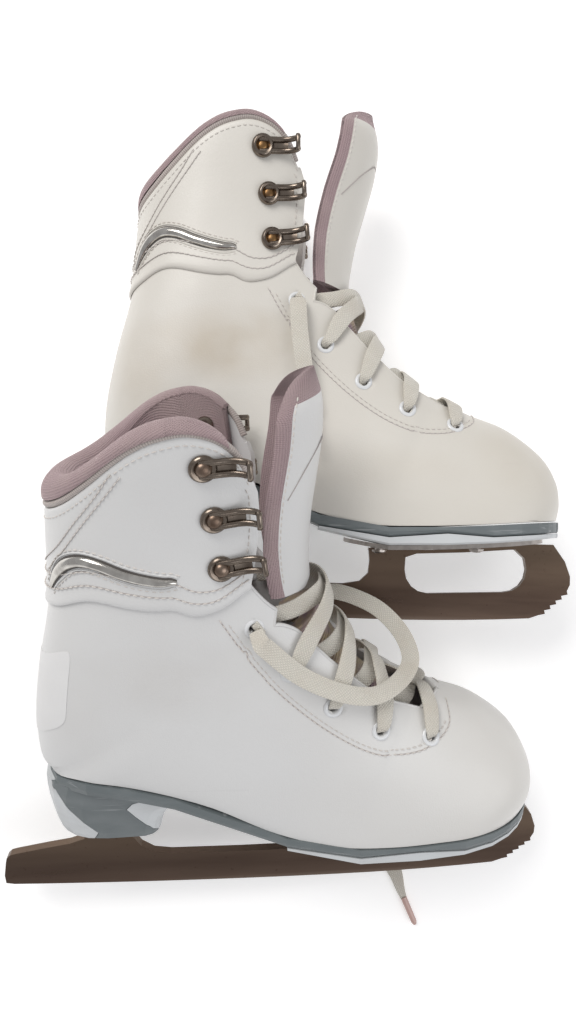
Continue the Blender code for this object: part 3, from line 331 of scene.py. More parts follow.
# ---------- materials ----------
class Finish:
    # A material with a Principled shader, and short ways to add nodes to it
    def __init__(self, name, color, roughness, skate=None, **inputs):
        self.mat = bpy.data.materials.new(name)
        self.mat.use_nodes = True
        self.tree = self.mat.node_tree
        self.shader = self.tree.nodes["Principled BSDF"]
        self.set("Base Color", (*color, 1))
        self.set("Roughness", roughness)
        for key, value in inputs.items():
            self.set(key.replace("_", " "), value)
        self.coords = self.tree.nodes.new("ShaderNodeTexCoord")
        self.uv = self.coords.outputs["UV"]
        self.place = self.coords.outputs["Object"]
        if skate:  # the skate's own upright axes
            turn = self.tree.nodes.new("ShaderNodeMapping")
            turn.vector_type = "TEXTURE"
            turn.inputs["Location"].default_value = skate["at"]
            turn.inputs["Rotation"].default_value = skate["euler"]
            self.link(self.place, turn.inputs["Vector"])
            self.place = turn.outputs["Vector"]

    def set(self, key, value):
        self.shader.inputs[key].default_value = value

    def link(self, a, b):
        self.tree.links.new(a, b)

    def node(self, kind, vector=None, **inputs):
        made = self.tree.nodes.new("ShaderNode" + kind)
        for key, value in inputs.items():
            made.inputs[key.replace("_", " ")].default_value = value
        if vector is not None:
            self.link(vector, made.inputs["Vector"])
        return made

    def scaled(self, scale, vector=None, rotation=(0, 0, 0), at=(0, 0, 0)):
        made = self.tree.nodes.new("ShaderNodeMapping")
        made.inputs["Scale"].default_value = scale
        made.inputs["Rotation"].default_value = rotation
        made.inputs["Location"].default_value = at
        self.link(vector if vector is not None else self.place, made.inputs["Vector"])
        return made.outputs["Vector"]

    def noise(self, scale, vector=None, detail=3.0, roughness=0.5, stretch=None, distortion=0.0):
        vector = self.place if vector is None else vector
        if stretch:
            vector = self.scaled(stretch, vector)
        made = self.node("TexNoise", vector, Scale=scale, Detail=detail, Roughness=roughness, Distortion=distortion)
        return made.outputs["Fac"]

    def ramp(self, value, stops, interpolation="LINEAR"):
        # stops is a list of (position, grey or colour)
        made = self.tree.nodes.new("ShaderNodeValToRGB")
        made.color_ramp.interpolation = interpolation
        while len(made.color_ramp.elements) < len(stops):
            made.color_ramp.elements.new(0.5)
        for element, (position, color) in zip(made.color_ramp.elements, sorted(stops, key=lambda s: s[0])):
            element.position = position
            element.color = (color, color, color, 1) if isinstance(color, (int, float)) else (*color, 1)
        self.link(value, made.inputs["Fac"])
        return made.outputs["Color"]

    def mix(self, share, a, b, kind="MIX"):
        made = self.tree.nodes.new("ShaderNodeMix")
        made.data_type = "RGBA"
        made.blend_type = kind
        for value, at in ((share, 0), (a, 6), (b, 7)):
            if isinstance(value, (int, float)):
                made.inputs[at].default_value = value
            elif isinstance(value, tuple):
                made.inputs[at].default_value = (*value, 1)
            else:
                self.link(value, made.inputs[at])
        return made.outputs[2]

    def math(self, kind, a, b=0.0, c=None, clamp=False):
        made = self.tree.nodes.new("ShaderNodeMath")
        made.operation = kind
        made.use_clamp = clamp
        for at, value in enumerate([a, b] + ([c] if c is not None else [])):
            if isinstance(value, (int, float)):
                made.inputs[at].default_value = value
            else:
                self.link(value, made.inputs[at])
        return made.outputs[0]

    def parts(self, vector):
        made = self.tree.nodes.new("ShaderNodeSeparateXYZ")
        self.link(vector, made.inputs[0])
        return made.outputs

    def spot(self, centre, radii, soft=1.0):
        # 1 at a place on the skate in mm, falling to 0 at its radii
        shift = self.scaled(tuple(1 / (r * mm) for r in radii), at=tuple(-c / r for c, r in zip(centre, radii)))
        far = self.tree.nodes.new("ShaderNodeVectorMath")
        far.operation = "LENGTH"
        self.link(shift, far.inputs[0])
        return self.math("MULTIPLY", self.math("SUBTRACT", 1.0, far.outputs["Value"], clamp=True), soft, clamp=True)

    def color(self, value):
        self.link(value, self.shader.inputs["Base Color"])

    def rough(self, value):
        self.link(value, self.shader.inputs["Roughness"])

    def bump(self, *layers):
        # layers are (height, distance in mm), each on top of the one before
        normal = None
        for height, depth in layers:
            made = self.tree.nodes.new("ShaderNodeBump")
            made.inputs["Strength"].default_value = 1.0
            made.inputs["Distance"].default_value = depth * mm
            self.link(height, made.inputs["Height"])
            if normal is not None:
                self.link(normal, made.inputs["Normal"])
            normal = made.outputs["Normal"]
        self.link(normal, self.shader.inputs["Normal"])
        return self


leatherLook = {  # base, the shade in its hollows, and how strongly each mark shows
    "left": {"base": (0.68, 0.655, 0.605), "shade": (0.62, 0.585, 0.53), "smudge": (0.50, 0.43, 0.33), "marks": 0.70},
    "right": {"base": (0.70, 0.70, 0.695), "shade": (0.64, 0.63, 0.62), "smudge": (0.52, 0.48, 0.44), "marks": 0.22},
}


def leather(skate, kind="boot"):
    look = leatherLook[skate["name"]]
    f = Finish(f"{skate['name']} white leather {kind}", look["base"], 0.42, skate, Coat_Weight=0.18, Coat_Roughness=0.28)
    cloudy = f.ramp(f.noise(16, detail=3), [(0.30, 0.0), (0.75, 1.0)])
    color = f.mix(cloudy, look["base"], look["shade"])
    color = f.mix(0.55, look["base"], color)
    # the toe and the vamp are creamier than the quarters
    x, y, z = f.parts(f.place)
    toward = f.math("MULTIPLY", f.math("SUBTRACT", x, 0.10), 9.0, clamp=True)
    color = f.mix(f.math("MULTIPLY", toward, 0.38), color, (0.72, 0.67, 0.58))
    patches = f.ramp(f.noise(38, detail=4), [(0.30, 0.25), (0.66, 1.0)])
    if kind == "boot":
        spots = [((62, -29, 125), (42, 30, 20), 1.0), ((22, -25, 112), (18, 22, 30), 0.5),
                 ((196, -14, 75), (30, 40, 20), 0.45), ((120, -33, 70), (60, 20, 12), 0.25)]
        for centre, radii, strength in spots:
            near = f.spot(centre, radii, 1.5)
            color = f.mix(f.math("MULTIPLY", f.math("MULTIPLY", near, patches), strength * look["marks"]), color, look["smudge"])
        # short dark scuffs on the toe and above the welt
        thin = f.ramp(f.noise(42, stretch=(0.6, 1, 7), detail=1), [(0.735, 0.0), (0.76, 1.0)])
        low = f.math("MULTIPLY", f.math("SUBTRACT", 0.075, z), 45.0, clamp=True)
        color = f.mix(f.math("MULTIPLY", f.math("MULTIPLY", thin, low), 0.55), color, (0.20, 0.18, 0.18))
    color = f.mix(f.math("MULTIPLY", f.ramp(f.noise(900, detail=2), [(0.6, 0.0), (0.8, 1.0)]), 0.05), color, (0.5, 0.45, 0.4))
    f.color(color)
    f.rough(f.ramp(f.noise(60, detail=4), [(0.3, 0.36), (0.75, 0.52)]))
    grain = f.node("TexVoronoi", f.place, Scale=1500.0)
    crease = f.ramp(f.noise(20, detail=2), [(0.30, 0.0), (0.72, 1.0)])
    return f.bump((crease, 0.22), (grain.outputs["Distance"], 0.035), (f.noise(330, detail=3), 0.03)).mat


def collarCloth(skate):
    # Mauve lining with fine ribs along the collar; the UV map is in metres round and over it
    f = Finish(skate["name"] + " ribbed lining", (0.36, 0.26, 0.27), 0.92, skate, Sheen_Weight=0.5, Sheen_Roughness=0.45)
    f.set("Sheen Tint", (0.95, 0.80, 0.80, 1))
    ribs = f.node("TexWave", f.scaled((1, 1, 1), f.uv), Scale=290.0, Distortion=0.5, Detail=1.0, Detail_Scale=2.0)
    ribs.bands_direction = "Y"
    rib = f.ramp(ribs.outputs["Fac"], [(0.12, 0.0), (0.6, 1.0)])
    weave = f.node("TexWave", f.scaled((1, 1, 1), f.uv), Scale=420.0, Distortion=0.6)
    weave.bands_direction = "X"
    color = f.mix(rib, (0.335, 0.24, 0.25), (0.385, 0.28, 0.29))
    color = f.mix(f.math("MULTIPLY", weave.outputs["Fac"], 0.12), color, (0.30, 0.22, 0.23))
    worn = f.ramp(f.noise(38, detail=5), [(0.46, 0.0), (0.70, 1.0)])
    color = f.mix(f.math("MULTIPLY", worn, 0.45), color, (0.42, 0.33, 0.315))
    f.color(color)
    return f.bump((worn, 0.3), (rib, 0.16), (weave.outputs["Fac"], 0.10), (f.noise(1200), 0.10)).mat


def innerCloth(skate):
    # The darker lining inside the throat, with a yellowish cast
    f = Finish(skate["name"] + " inner lining", (0.36, 0.27, 0.27), 0.9, skate, Sheen_Weight=0.3)
    blotch = f.ramp(f.noise(75, detail=4), [(0.42, 0.0), (0.6, 1.0)])
    color = f.mix(blotch, (0.30, 0.20, 0.24), (0.50, 0.40, 0.22))
    knit = f.node("TexWave", f.uv, Scale=230.0, Distortion=1.0)
    color = f.mix(f.math("MULTIPLY", knit.outputs["Fac"], 0.3), color, (0.62, 0.53, 0.50))
    f.color(color)
    return f.bump((knit.outputs["Fac"], 0.3), (f.noise(900), 0.12)).mat


def binding(skate):
    # The taupe tape that binds the rim of the cuff
    f = Finish(skate["name"] + " binding", (0.40, 0.35, 0.32), 0.7, skate, Sheen_Weight=0.2)
    weave = f.node("TexWave", f.uv, Scale=330.0, Distortion=0.5)
    f.color(f.mix(weave.outputs["Fac"], (0.36, 0.315, 0.29), (0.52, 0.46, 0.43)))
    return f.bump((weave.outputs["Fac"], 0.12)).mat


def rubber(skate, name, base, dark, roughness=0.48):
    f = Finish(skate["name"] + " " + name, base, roughness, skate, Coat_Weight=0.08, Coat_Roughness=0.4)
    dust = f.ramp(f.noise(60, stretch=(1, 1, 3), detail=5), [(0.42, 0.0), (0.72, 1.0)])
    scratch = f.ramp(f.noise(160, stretch=(0.25, 1, 4), detail=2), [(0.64, 0.0), (0.70, 1.0)])
    color = f.mix(f.math("MULTIPLY", dust, 0.5), base, dark)
    color = f.mix(f.math("MULTIPLY", scratch, 0.35), color, tuple(0.5 * v + 0.4 for v in base))
    f.color(color)
    f.rough(f.ramp(dust, [(0.0, roughness), (1.0, roughness + 0.16)]))
    return f.bump((f.noise(240, detail=3), 0.08), (f.noise(2000), 0.02)).mat


def bladeSteel(skate):
    # Ground steel: fine lines along the blade, a darker, browner low band that is a painted reflection, and a bright
    # edge at the ice
    f = Finish(skate["name"] + " blade steel", (0.14, 0.10, 0.075), 0.34, skate, Metallic=1.0)
    x, y, z = f.parts(f.place)
    grain = f.noise(900, stretch=(0.03, 1, 1), detail=3)
    streak = f.noise(150, stretch=(0.12, 1, 1), detail=4)
    # from the edge up: ground bright, then a dull brownish band of painted reflection, then plated
    low = f.ramp(f.math("MULTIPLY", z, 25.0), [
        (0.0, (0.26, 0.20, 0.16)), (0.06, (0.13, 0.088, 0.068)),
        (0.32, (0.085, 0.055, 0.042)), (0.62, (0.15, 0.105, 0.075)), (1.0, (0.17, 0.125, 0.09))])
    color = f.mix(f.math("MULTIPLY", streak, 0.5), low, (0.20, 0.145, 0.11))
    spots = f.ramp(f.noise(420, detail=3), [(0.66, 0.0), (0.74, 1.0)])
    color = f.mix(f.math("MULTIPLY", spots, 0.4), color, (0.07, 0.04, 0.03))
    f.color(color)
    f.rough(f.ramp(streak, [(0.3, 0.26), (0.75, 0.46)]))
    return f.bump((grain, 0.03), (streak, 0.02)).mat


def plated(skate, name, base, roughness, dark=None, stretch=None):
    f = Finish(skate["name"] + " " + name, base, roughness, skate, Metallic=1.0)
    cloud = f.ramp(f.noise(260, detail=4, stretch=stretch), [(0.35, 0.0), (0.7, 1.0)])
    f.color(f.mix(f.math("MULTIPLY", cloud, 0.7), base, dark or tuple(0.6 * v for v in base)))
    f.rough(f.ramp(cloud, [(0.0, roughness), (1.0, roughness + 0.14)]))
    return f.bump((f.noise(900, detail=2), 0.012)).mat


def laceCloth(skate, base=(0.70, 0.665, 0.59)):
    # Flat woven lace: ribs along it crossed by a fine herringbone; the UV map is in metres
    f = Finish(skate["name"] + " woven lace", base, 0.88, skate, Sheen_Weight=0.25)
    slant = f.node("TexWave", f.scaled((1, 1, 1), f.uv, rotation=(0, 0, 0.85)), Scale=330.0, Distortion=0.5)
    other = f.node("TexWave", f.scaled((1, 1, 1), f.uv, rotation=(0, 0, -0.85)), Scale=330.0, Distortion=0.5)
    weave = f.math("MULTIPLY", slant.outputs["Fac"], other.outputs["Fac"])
    color = f.mix(f.ramp(weave, [(0.05, 0.0), (0.55, 1.0)]), tuple(0.84 * v for v in base), tuple(min(1.06 * v, 1) for v in base))
    soiled = f.ramp(f.noise(85, detail=4), [(0.42, 0.0), (0.72, 1.0)])
    color = f.mix(f.math("MULTIPLY", soiled, 0.40), color, (0.55, 0.49, 0.41))
    f.color(color)
    return f.bump((weave, 0.22), (f.noise(1500), 0.08)).mat


def plain(skate, name, base, roughness, depth=0.05, scale=500, spread=0.12, **inputs):
    f = Finish(skate["name"] + " " + name, base, roughness, skate, **inputs)
    cloud = f.noise(scale * 0.15, detail=4)
    f.color(f.mix(f.math("MULTIPLY", cloud, 1.0), tuple(v * (1 - spread) for v in base), tuple(min(v * (1 + spread), 1) for v in base)))
    return f.bump((f.noise(scale, detail=3), depth)).mat


def finishes(skate):
    left = skate["name"] == "left"
    return {
        "boot": leather(skate), "cuff": leather(skate, "cuff"), "tongue": leather(skate, "tongue"),
        "collar": collarCloth(skate), "inner": innerCloth(skate), "binding": binding(skate),
        "grey": rubber(skate, "grey rubber", (0.135, 0.155, 0.16), (0.21, 0.23, 0.235)),
        "white": rubber(skate, "white rubber", (0.60, 0.62, 0.63), (0.50, 0.50, 0.50)),
        "steel": bladeSteel(skate), "plate": plated(skate, "plate steel", (0.46, 0.42, 0.39), 0.32),
        "chrome": plated(skate, "chrome", (0.66, 0.64, 0.60), 0.10, (0.34, 0.32, 0.30)),
        "gunmetal": plated(skate, "gunmetal", (0.24, 0.20, 0.165), 0.18, (0.10, 0.075, 0.06)),
        "amber": plated(skate, "amber", (0.30, 0.17, 0.07) if left else (0.25, 0.19, 0.15), 0.30, (0.10, 0.06, 0.04)),
        "lace": laceCloth(skate), "thread": plain(skate, "thread", (0.66, 0.62, 0.58), 0.8, 0.04, 2500),
        "seam": plain(skate, "seam shadow", (0.44, 0.40, 0.385), 0.75, 0.03, 900),
        "ring": plain(skate, "eyelet ring", (0.74, 0.75, 0.76), 0.35, 0.01, 600, 0.05, Coat_Weight=0.3),
        # near-black painted shade for the inside of the eyelets' holes
        "dark": plain(skate, "eyelet bore", (0.035, 0.030, 0.032), 0.7),
        "trimBed": plain(skate, "trim bed", (0.10, 0.09, 0.085), 0.5, 0.05, 700, 0.06),
        "insole": plain(skate, "insole cloth", (0.42, 0.34, 0.35), 0.95, 0.2, 1300, 0.2, Sheen_Weight=0.3),
        "tip": plain(skate, "lace tip", (0.52, 0.34, 0.30), 0.30, 0.03, 900, 0.15, Coat_Weight=0.6),
        "paper": plain(skate, "blank label", (0.76, 0.755, 0.75), 0.6, 0.05, 600, 0.03),
    }


for skate in skates.values():
    skate["finish"] = finishes(skate)
print("materials ready")


# ---------- the upper ----------
shellLook = {"rows": 96, "upperRows": 42, "places": 46, "thick": 2.6}


def bootShell(skate):
    # The vamp and quarters. Rows run from the toe up to the cuff's seam, and each goes from the front edge
    # of one side round the sole or the back line to the front edge of the other.
    look = shellLook
    k = np.cos(np.linspace(0, math.pi / 2, look["places"])) ** 0.9
    k[-1] = 0
    plainRow = 0.5 * (1 - np.cos(np.pi / 2 * np.linspace(0, 1, look["rows"])) ** 0.8)
    top = seamRow(k) + 0.010
    bend = np.linspace(0, 1, look["upperRows"])[1:, None]
    s = np.concatenate([np.repeat(plainRow[:, None], len(k), 1), 0.5 + (top - 0.5) * bend])
    a = k[None] * facing(s)
    right, left = (skin(s, a, side)[0] for side in (-1, 1))
    share = np.linspace(0, 1, 7)[1:-1][None, :, None]
    middle = right[:, -1:] * (1 - share) + left[:, -1:] * share
    grid = np.concatenate([right, middle, left[:, ::-1]], axis=1)
    rows, places = grid.shape[:2]
    faces = gridFaces(rows, places)
    centre = grid.reshape(-1, 3)[faces].mean(axis=1)
    keep = np.ones(len(faces), bool)  # the eyelets' holes
    for s0, a0 in eyelets:
        for side in (-1, 1):
            keep &= np.linalg.norm(centre - skin(s0, a0, side)[0], axis=1) > 2.5 * mm
    faces = faces[keep].tolist() + [[j, (places - 1) - j, (places - 2) - j, j + 1] for j in range(places // 2 - 1)]
    obj = piece(skate, "boot", grid, faces, skate["finish"]["boot"], slot="leather", replaces=["boot_shell"])
    skin0 = obj.data
    # the wall grows inwards from faces that point out
    middlePoint = np.array(toWorld(np.array([[0.09, 0, 0.075]]), skate))[0]
    lean = sum((np.array(f.center) - middlePoint) @ np.array(f.normal) * f.area for f in skin0.polygons)
    if lean < 0:
        skin0.flip_normals()
    wallMod = obj.modifiers.new("wall", "SOLIDIFY")
    wallMod.thickness = look["thick"] * mm
    wallMod.offset = -1
    return obj


def lineOn(points, side, lift, count=120, found=None):
    # A line of the side view laid on one side of the boot, with its normals
    at = smooth(placed(points) if found is None else found, np.linspace(0, 1, count))
    return skin(at[:, 0], at[:, 1], side, lift)


def facingLine(side, lift, inset=0.0, count=200, low=None, high=None):
    # Along the front edge of the quarters from the throat's toe end up to the cuff, inset round the row
    low = facingRows[0] + 0.001 if low is None else low
    high = float(seamRow(1.0)) if high is None else high
    s = np.linspace(low, high, count)
    return skin(s, np.clip(facing(s) - inset, 0, 1), side, lift)


stitchLine = [(175.4, 99.9), (174.0, 95.0), (167.5, 91.0), (158.5, 88.6), (146, 89.0),
              (134, 93.5), (121.5, 101.5), (109, 112), (98, 123.5), (88, 137.5), (79.3, 152.3)]


def facingTrim(skate):
    f = skate["finish"]
    for side, tag in ((-1, "right"), (1, "left")):
        path, normal = facingLine(side, -1.0)
        sweep(skate, "facing_edge_" + tag, path, normal, 0.8 * mm, 1.25 * mm, f["boot"], sides=10, slot="leather")
        outer = smooth(np.array(stitchLine), np.linspace(0, 1, 45))
        path, normal = lineOn(outer, side, 0.02, 220)
        sweep(skate, "facing_seam_" + tag, path, normal, 0.30 * mm, 0.10 * mm, f["seam"], sides=6, slot="leather")
        path, normal = lineOn(outer, side, 0.20, 220)
        stitches(skate, "facing_stitch_" + tag, path, normal, f["thread"], slot="leather")
        run = np.gradient(outer, axis=0)
        run /= np.linalg.norm(run, axis=1, keepdims=True)
        inner = outer + 1.9 * np.stack([run[:, 1], -run[:, 0]], -1)
        path, normal = lineOn(inner[5:-1], side, 0.18, 220)
        stitches(skate, "facing_stitch_inner_" + tag, path, normal, f["thread"], width=0.45, slot="leather")


def eyeletRings(skate):
    for side, tag in ((-1, "right"), (1, "left")):
        for number, (s0, a0) in enumerate(eyelets):
            centre, normal = skin(s0, a0, side)
            ring = [(0, -2.6), (2.0, -2.6), (2.05, -0.2), (2.35, 0.45), (2.9, 0.72), (3.5, 0.62),
                    (3.95, 0.2), (4.0, -0.4), (2.7, -0.5), (2.6, -2.9), (0, -2.9)]
            lathe(skate, f"eyelet_{tag}_{number + 1}", ring, centre, normal, skate["finish"]["ring"], slot="leather")
            # a near-black disc low in each eyelet's hole is painted shade where the hole goes into the boot
            holeShade = [(0, -2.4), (1.95, -2.45), (1.95, -2.6), (0, -2.6)]
            lathe(skate, f"eyelet_bore_{tag}_{number + 1}", holeShade, centre, normal, skate["finish"]["dark"], steps=16, slot="leather")


def wrapAround(levels, places, count=0):
    # A closed section at each place round the ankle, from the right front edge to the left one
    rings = []
    for side in (-1, 1):
        s, lift = levels(places)
        part = skin(s, places[:, None] * facing(s), side, lift)[0]
        if count:
            part = np.moveaxis(smooth(np.moveaxis(np.concatenate([part, part[:, :1]], 1), 1, 0), np.linspace(0, 1, count + 1)[:-1]), 0, 1)
        rings.append(part if side < 0 else part[-2::-1])
    return np.concatenate(rings)


def ankleCuff(skate):
    f = skate["finish"]
    k = np.cos(np.linspace(0, math.pi / 2, 60)) ** 0.9
    k[-1] = 0

    def levels(k):
        low, high = seamRow(k)[:, None] - 0.004, rimRow(k)[:, None]
        share = np.concatenate([[0, .006, .02, .045], np.linspace(.08, .94, 22), [.97, .99, 1.0]])
        rise = np.concatenate([[.35, .95, 1.35, 1.5], np.full(22, 1.0) + .35 * np.exp(-np.linspace(0, 22, 22) / 3), [1.0, .8, .3]])
        s = low + (high - low) * np.concatenate([share, share[::-1]])[None]
        lift = np.concatenate([rise, np.concatenate([[-1.2], np.full(22, -2.4), [-2.0, -.5, .05, .15, .25, .3]])[:len(share)]])
        return s, np.broadcast_to(lift, s.shape)

    rings = wrapAround(levels, k)
    ringsPiece(skate, "cuff", rings, f["cuff"], slot="leather", replaces=["ankle_cuff"])
    # the bound rim, the double stitched lower edge, the strap seam behind and the front edge
    kk = np.linspace(0.985, 0, 70)
    for side, tag in ((-1, "right"), (1, "left")):
        s = rimRow(kk)
        path, normal = skin(s + 0.0035, kk * facing(s), side, -0.6)
        sweep(skate, "rim_binding_" + tag, path, normal, 1.5 * mm, 2.1 * mm, f["binding"], sides=12, slot="fabric")
        path, normal = skin(s - 0.008, kk * facing(s), side, 1.05)
        stitches(skate, "rim_stitch_" + tag, path, normal, f["thread"], slot="leather")
        for row, gap in enumerate((0.0115, 0.024)):
            s = seamRow(kk) + gap
            path, normal = skin(s, kk * facing(s) - 0.004, side, 1.42 - row * 0.12)
            sweep(skate, f"cuff_seam_{tag}_{row}", path, normal, 0.26 * mm, 0.10 * mm, f["seam"], sides=6, slot="leather")
            path, normal = skin(s, kk * facing(s) - 0.004, side, 1.58 - row * 0.12)
            stitches(skate, f"cuff_stitch_{tag}_{row}", path, normal, f["thread"], slot="leather")
        for row, shift in enumerate((0, 3.2)):
            strap = [(12.8 + shift, 170.5), (20.5 + shift, 181.0), (29.5 + shift, 193.0), (38.0 + shift, 203.5), (44 + shift, 212.0 - row)]
            path, normal = lineOn(strap, side, 1.10)
            sweep(skate, f"strap_seam_{tag}_{row}", path, normal, 0.24 * mm, 0.10 * mm, f["seam"], sides=6, slot="leather")
            path, normal = lineOn(strap, side, 1.25)
            stitches(skate, f"strap_stitch_{tag}_{row}", path, normal, f["thread"], width=0.45, slot="leather")
        s = np.linspace(float(seamRow(1.0)) + .012, float(rimRow(1.0)) - .012, 60)
        path, normal = skin(s, facing(s) - 0.028, side, 1.2)
        stitches(skate, "cuff_front_stitch_" + tag, path, normal, f["thread"], width=0.45, slot="leather")


collarLook = {"rows": [0.70, 0.73, 0.76, 0.80, 0.84, 0.88], "roll": 0.030, "puff": 1.5}


def collar(skate):
    # The padded lining, rolled out over the rim and stitched down along it
    depth = wall["leather"] + 2.5 * wall["gap"]
    k = np.cos(np.linspace(math.acos(0.93), math.pi / 2, 64))
    k[-1] = 0
    low = np.array(collarLook["rows"])

    def levels(k):
        high, k = rimRow(k)[:, None], k[:, None]
        roll = collarLook["roll"] - 0.020 * k
        inner = depth + wall["lining"] + 3.5 * (1 - k)
        puff = collarLook["puff"]
        flat = low[None] + 0 * k
        edge = [(high + .008, -depth + 0 * k), (high + .009, 0.2 + 0 * k), (high + .28 * roll, 1.1 + puff * .4 + 0 * k),
                (high + .62 * roll, 0.9 + puff * .5 + 0 * k), (high + .92 * roll, -.8 + 0 * k), (high + 1.04 * roll, -.45 * inner),
                (high + .86 * roll, -.86 * inner), (high + .45 * roll, -1.02 * inner), (high + .05 * roll, -inner)]
        s = np.concatenate([flat] + [e[0] for e in edge] + [flat[:, ::-1]], 1)
        lift = np.concatenate([0 * flat - depth] + [e[1] + 0 * k for e in edge] + [0 * flat - depth - wall["lining"]], 1)
        return s, lift

    rings = wrapAround(levels, k, 72)
    over = np.concatenate([np.zeros((len(rings), 1)), np.cumsum(np.linalg.norm(np.diff(rings, axis=1), axis=2), 1)], 1)
    around = distance(rings[:, 30])[:, None] + 0 * over
    obj = ringsPiece(skate, "collar", rings, skate["finish"]["collar"], uv=np.stack([around, over], -1), slot="fabric", replaces=["liner"])
    # a rivet washer shows inside the lining at the top hook
    for side, tag in ((-1, "right"), (1, "left")):
        s0, a0 = hooks[2]
        centre, normal = skin(s0, a0, side, -depth - wall["lining"] - 0.6)
        washer = [(0, 0.2), (0.9, 0.25), (1.0, 0.9), (1.9, 1.15), (3.2, 0.95), (3.7, 0.35), (3.6, -0.5), (0, -0.6)]
        lathe(skate, "rivet_washer_" + tag, washer, centre, -normal, skate["finish"]["gunmetal"], slot="gunmetal")
    return obj


# ---------- the tongue ----------
def tongueFrame(t):
    # Middle line of the tongue, the way it faces and the way it runs, at t from 0 at the vamp to 1
    p = smooth(lines["tongue"], t)
    d = smooth(lines["tongue"], np.minimum(t + .01, 1)) - smooth(lines["tongue"], np.maximum(t - .01, 0))
    d = d / np.linalg.norm(d, axis=1, keepdims=True)
    zero = 0 * d[:, 0]
    centre = fromLast(np.stack([p[:, 0], zero, p[:, 1]], -1))
    return centre, np.stack([d[:, 1], zero, -d[:, 0]], -1), np.stack([d[:, 0], zero, d[:, 1]], -1)


def tongue(skate):
    # A padded tongue: a rounded section, wider at the ankle and rounded at its top
    f = skate["finish"]
    split = 5 / 11
    t = np.concatenate([np.linspace(split + .026, .86, 46), .86 + .14 * np.sin(np.linspace(0, math.pi / 2, 26)[1:])])
    centre, out, along = tongueFrame(t)
    hinge, outHinge, alongHinge = (v[0] for v in tongueFrame(np.array([split])))
    hinge = hinge - outHinge * wall["tongue"] / 2 * mm
    half = np.interp(t, [0, .12, .35, .45, .6, 1], [.50, .62, .74, .86, 1, 1]) * wall["tongueHalf"]
    top = np.clip((t - .86) / .14, 0, 1)
    half = half * np.sqrt(np.maximum(1 - 0.985 * top ** 2.2, 0.0))
    curl = np.interp(t, [0, .3, .45, .7, 1], [7.5, 8.5, 15, 17, 15]) / 25 * half
    thick = wall["tongue"] * (1.08 + 0.10 * np.exp(-((t - .95) / .05) ** 2)) * np.sqrt(np.maximum(1 - top ** 8, 0.02))
    turn = np.linspace(0, 2 * math.pi, 96, endpoint=False)
    c, s = np.cos(turn), np.sin(turn)
    u = np.sign(c) * np.abs(c) ** 0.55
    v = 0.5 - 0.5 * np.sign(s) * np.abs(s) ** 0.45
    back = curl[:, None] * u ** 2
    rings = (centre[:, None] + np.array([0, 1, 0]) * (half[:, None] * u)[..., None] * mm
             - out[:, None] * (back + thick[:, None] * v - 0.2)[..., None] * mm)
    slip = skate["slip"] * (t - split) / (1 - split)
    rings = rings + along[:, None] * slip[:, None, None] * mm
    # its foot is cut back, so that it can fold forward
    ahead = (rings[0] - hinge) @ outHinge
    foot = rings[0] + alongHinge * np.where(ahead > 0, ahead * math.tan(math.radians(36)), -ahead * math.tan(math.radians(8)))[:, None]
    lift = (foot - rings[0])
    for row in range(10):
        rings[row] += lift * (1 - row / 10)
    a = math.radians(skate["open"])
    turnY = np.array([[math.cos(a), 0, math.sin(a)], [0, 1, 0], [-math.sin(a), 0, math.cos(a)]])
    rings = (rings - hinge) @ turnY.T + hinge
    over = distance(rings[:, 0])[:, None] + 0 * rings[..., 0]
    around = np.concatenate([np.zeros((len(rings), 1)), np.cumsum(np.linalg.norm(np.diff(rings, axis=1), axis=2), 1)], 1)
    obj = ringsPiece(skate, "tongue_pad", rings, f["tongue"], uv=np.stack([over, around], -1),
                     body=skate["name"] + "_tongue", slot="leather", replaces=["tongue"])
    obj.data.materials.append(f["collar"])
    # the face is leather and its rolled rim and its back are lining
    face = (s > 0.25) & (np.abs(u) < 0.93)
    isFace = (face & np.roll(face, -1))[None, :] & (t[:-1, None] < 0.93)
    lined = np.ones(len(obj.data.polygons), np.int32)
    lined[:isFace.size] = np.where(isFace, 0, 1).ravel()
    obj.data.polygons.foreach_set("material_index", lined)
    # the seam that holds the rim's lining, and an arc across the face
    place = [row for row in range(len(t)) if t[row] > 0.52 and t[row] < 0.955]
    for tag, sign in (("near", -1), ("far", 1)):
        column = int(np.argmin(np.abs(u - sign * 0.90) + (s < 0) * 9))
        path = np.array([rings[row, column] for row in place])
        normal = np.array([(out @ turnY.T)[row] for row in place])
        stitches(skate, "tongue_stitch_" + tag, path + normal * 0.1 * mm, normal, f["thread"], body=skate["name"] + "_tongue", slot="leather")
    rowsArc = np.interp(np.linspace(-1, 1, 50) ** 2, [0, 1], [0.83, 0.70])
    columns = np.linspace(-0.86, 0.86, 50)
    path = []
    for value, place in zip(columns, rowsArc):
        row = int(np.argmin(np.abs(t - place)))
        column = int(np.argmin(np.abs(u - value) + (s < 0) * 9))
        path.append(rings[row, column])
    path = np.array(path)
    path = smooth(path[::7], np.linspace(0, 1, 60))
    normal = np.tile((out @ turnY.T)[int(len(t) * .6)], (60, 1))
    sweep(skate, "tongue_arc", path + normal * 0.15 * mm, normal, 0.32 * mm, 0.25 * mm, f["seam"],
          sides=6, body=skate["name"] + "_tongue", slot="leather")


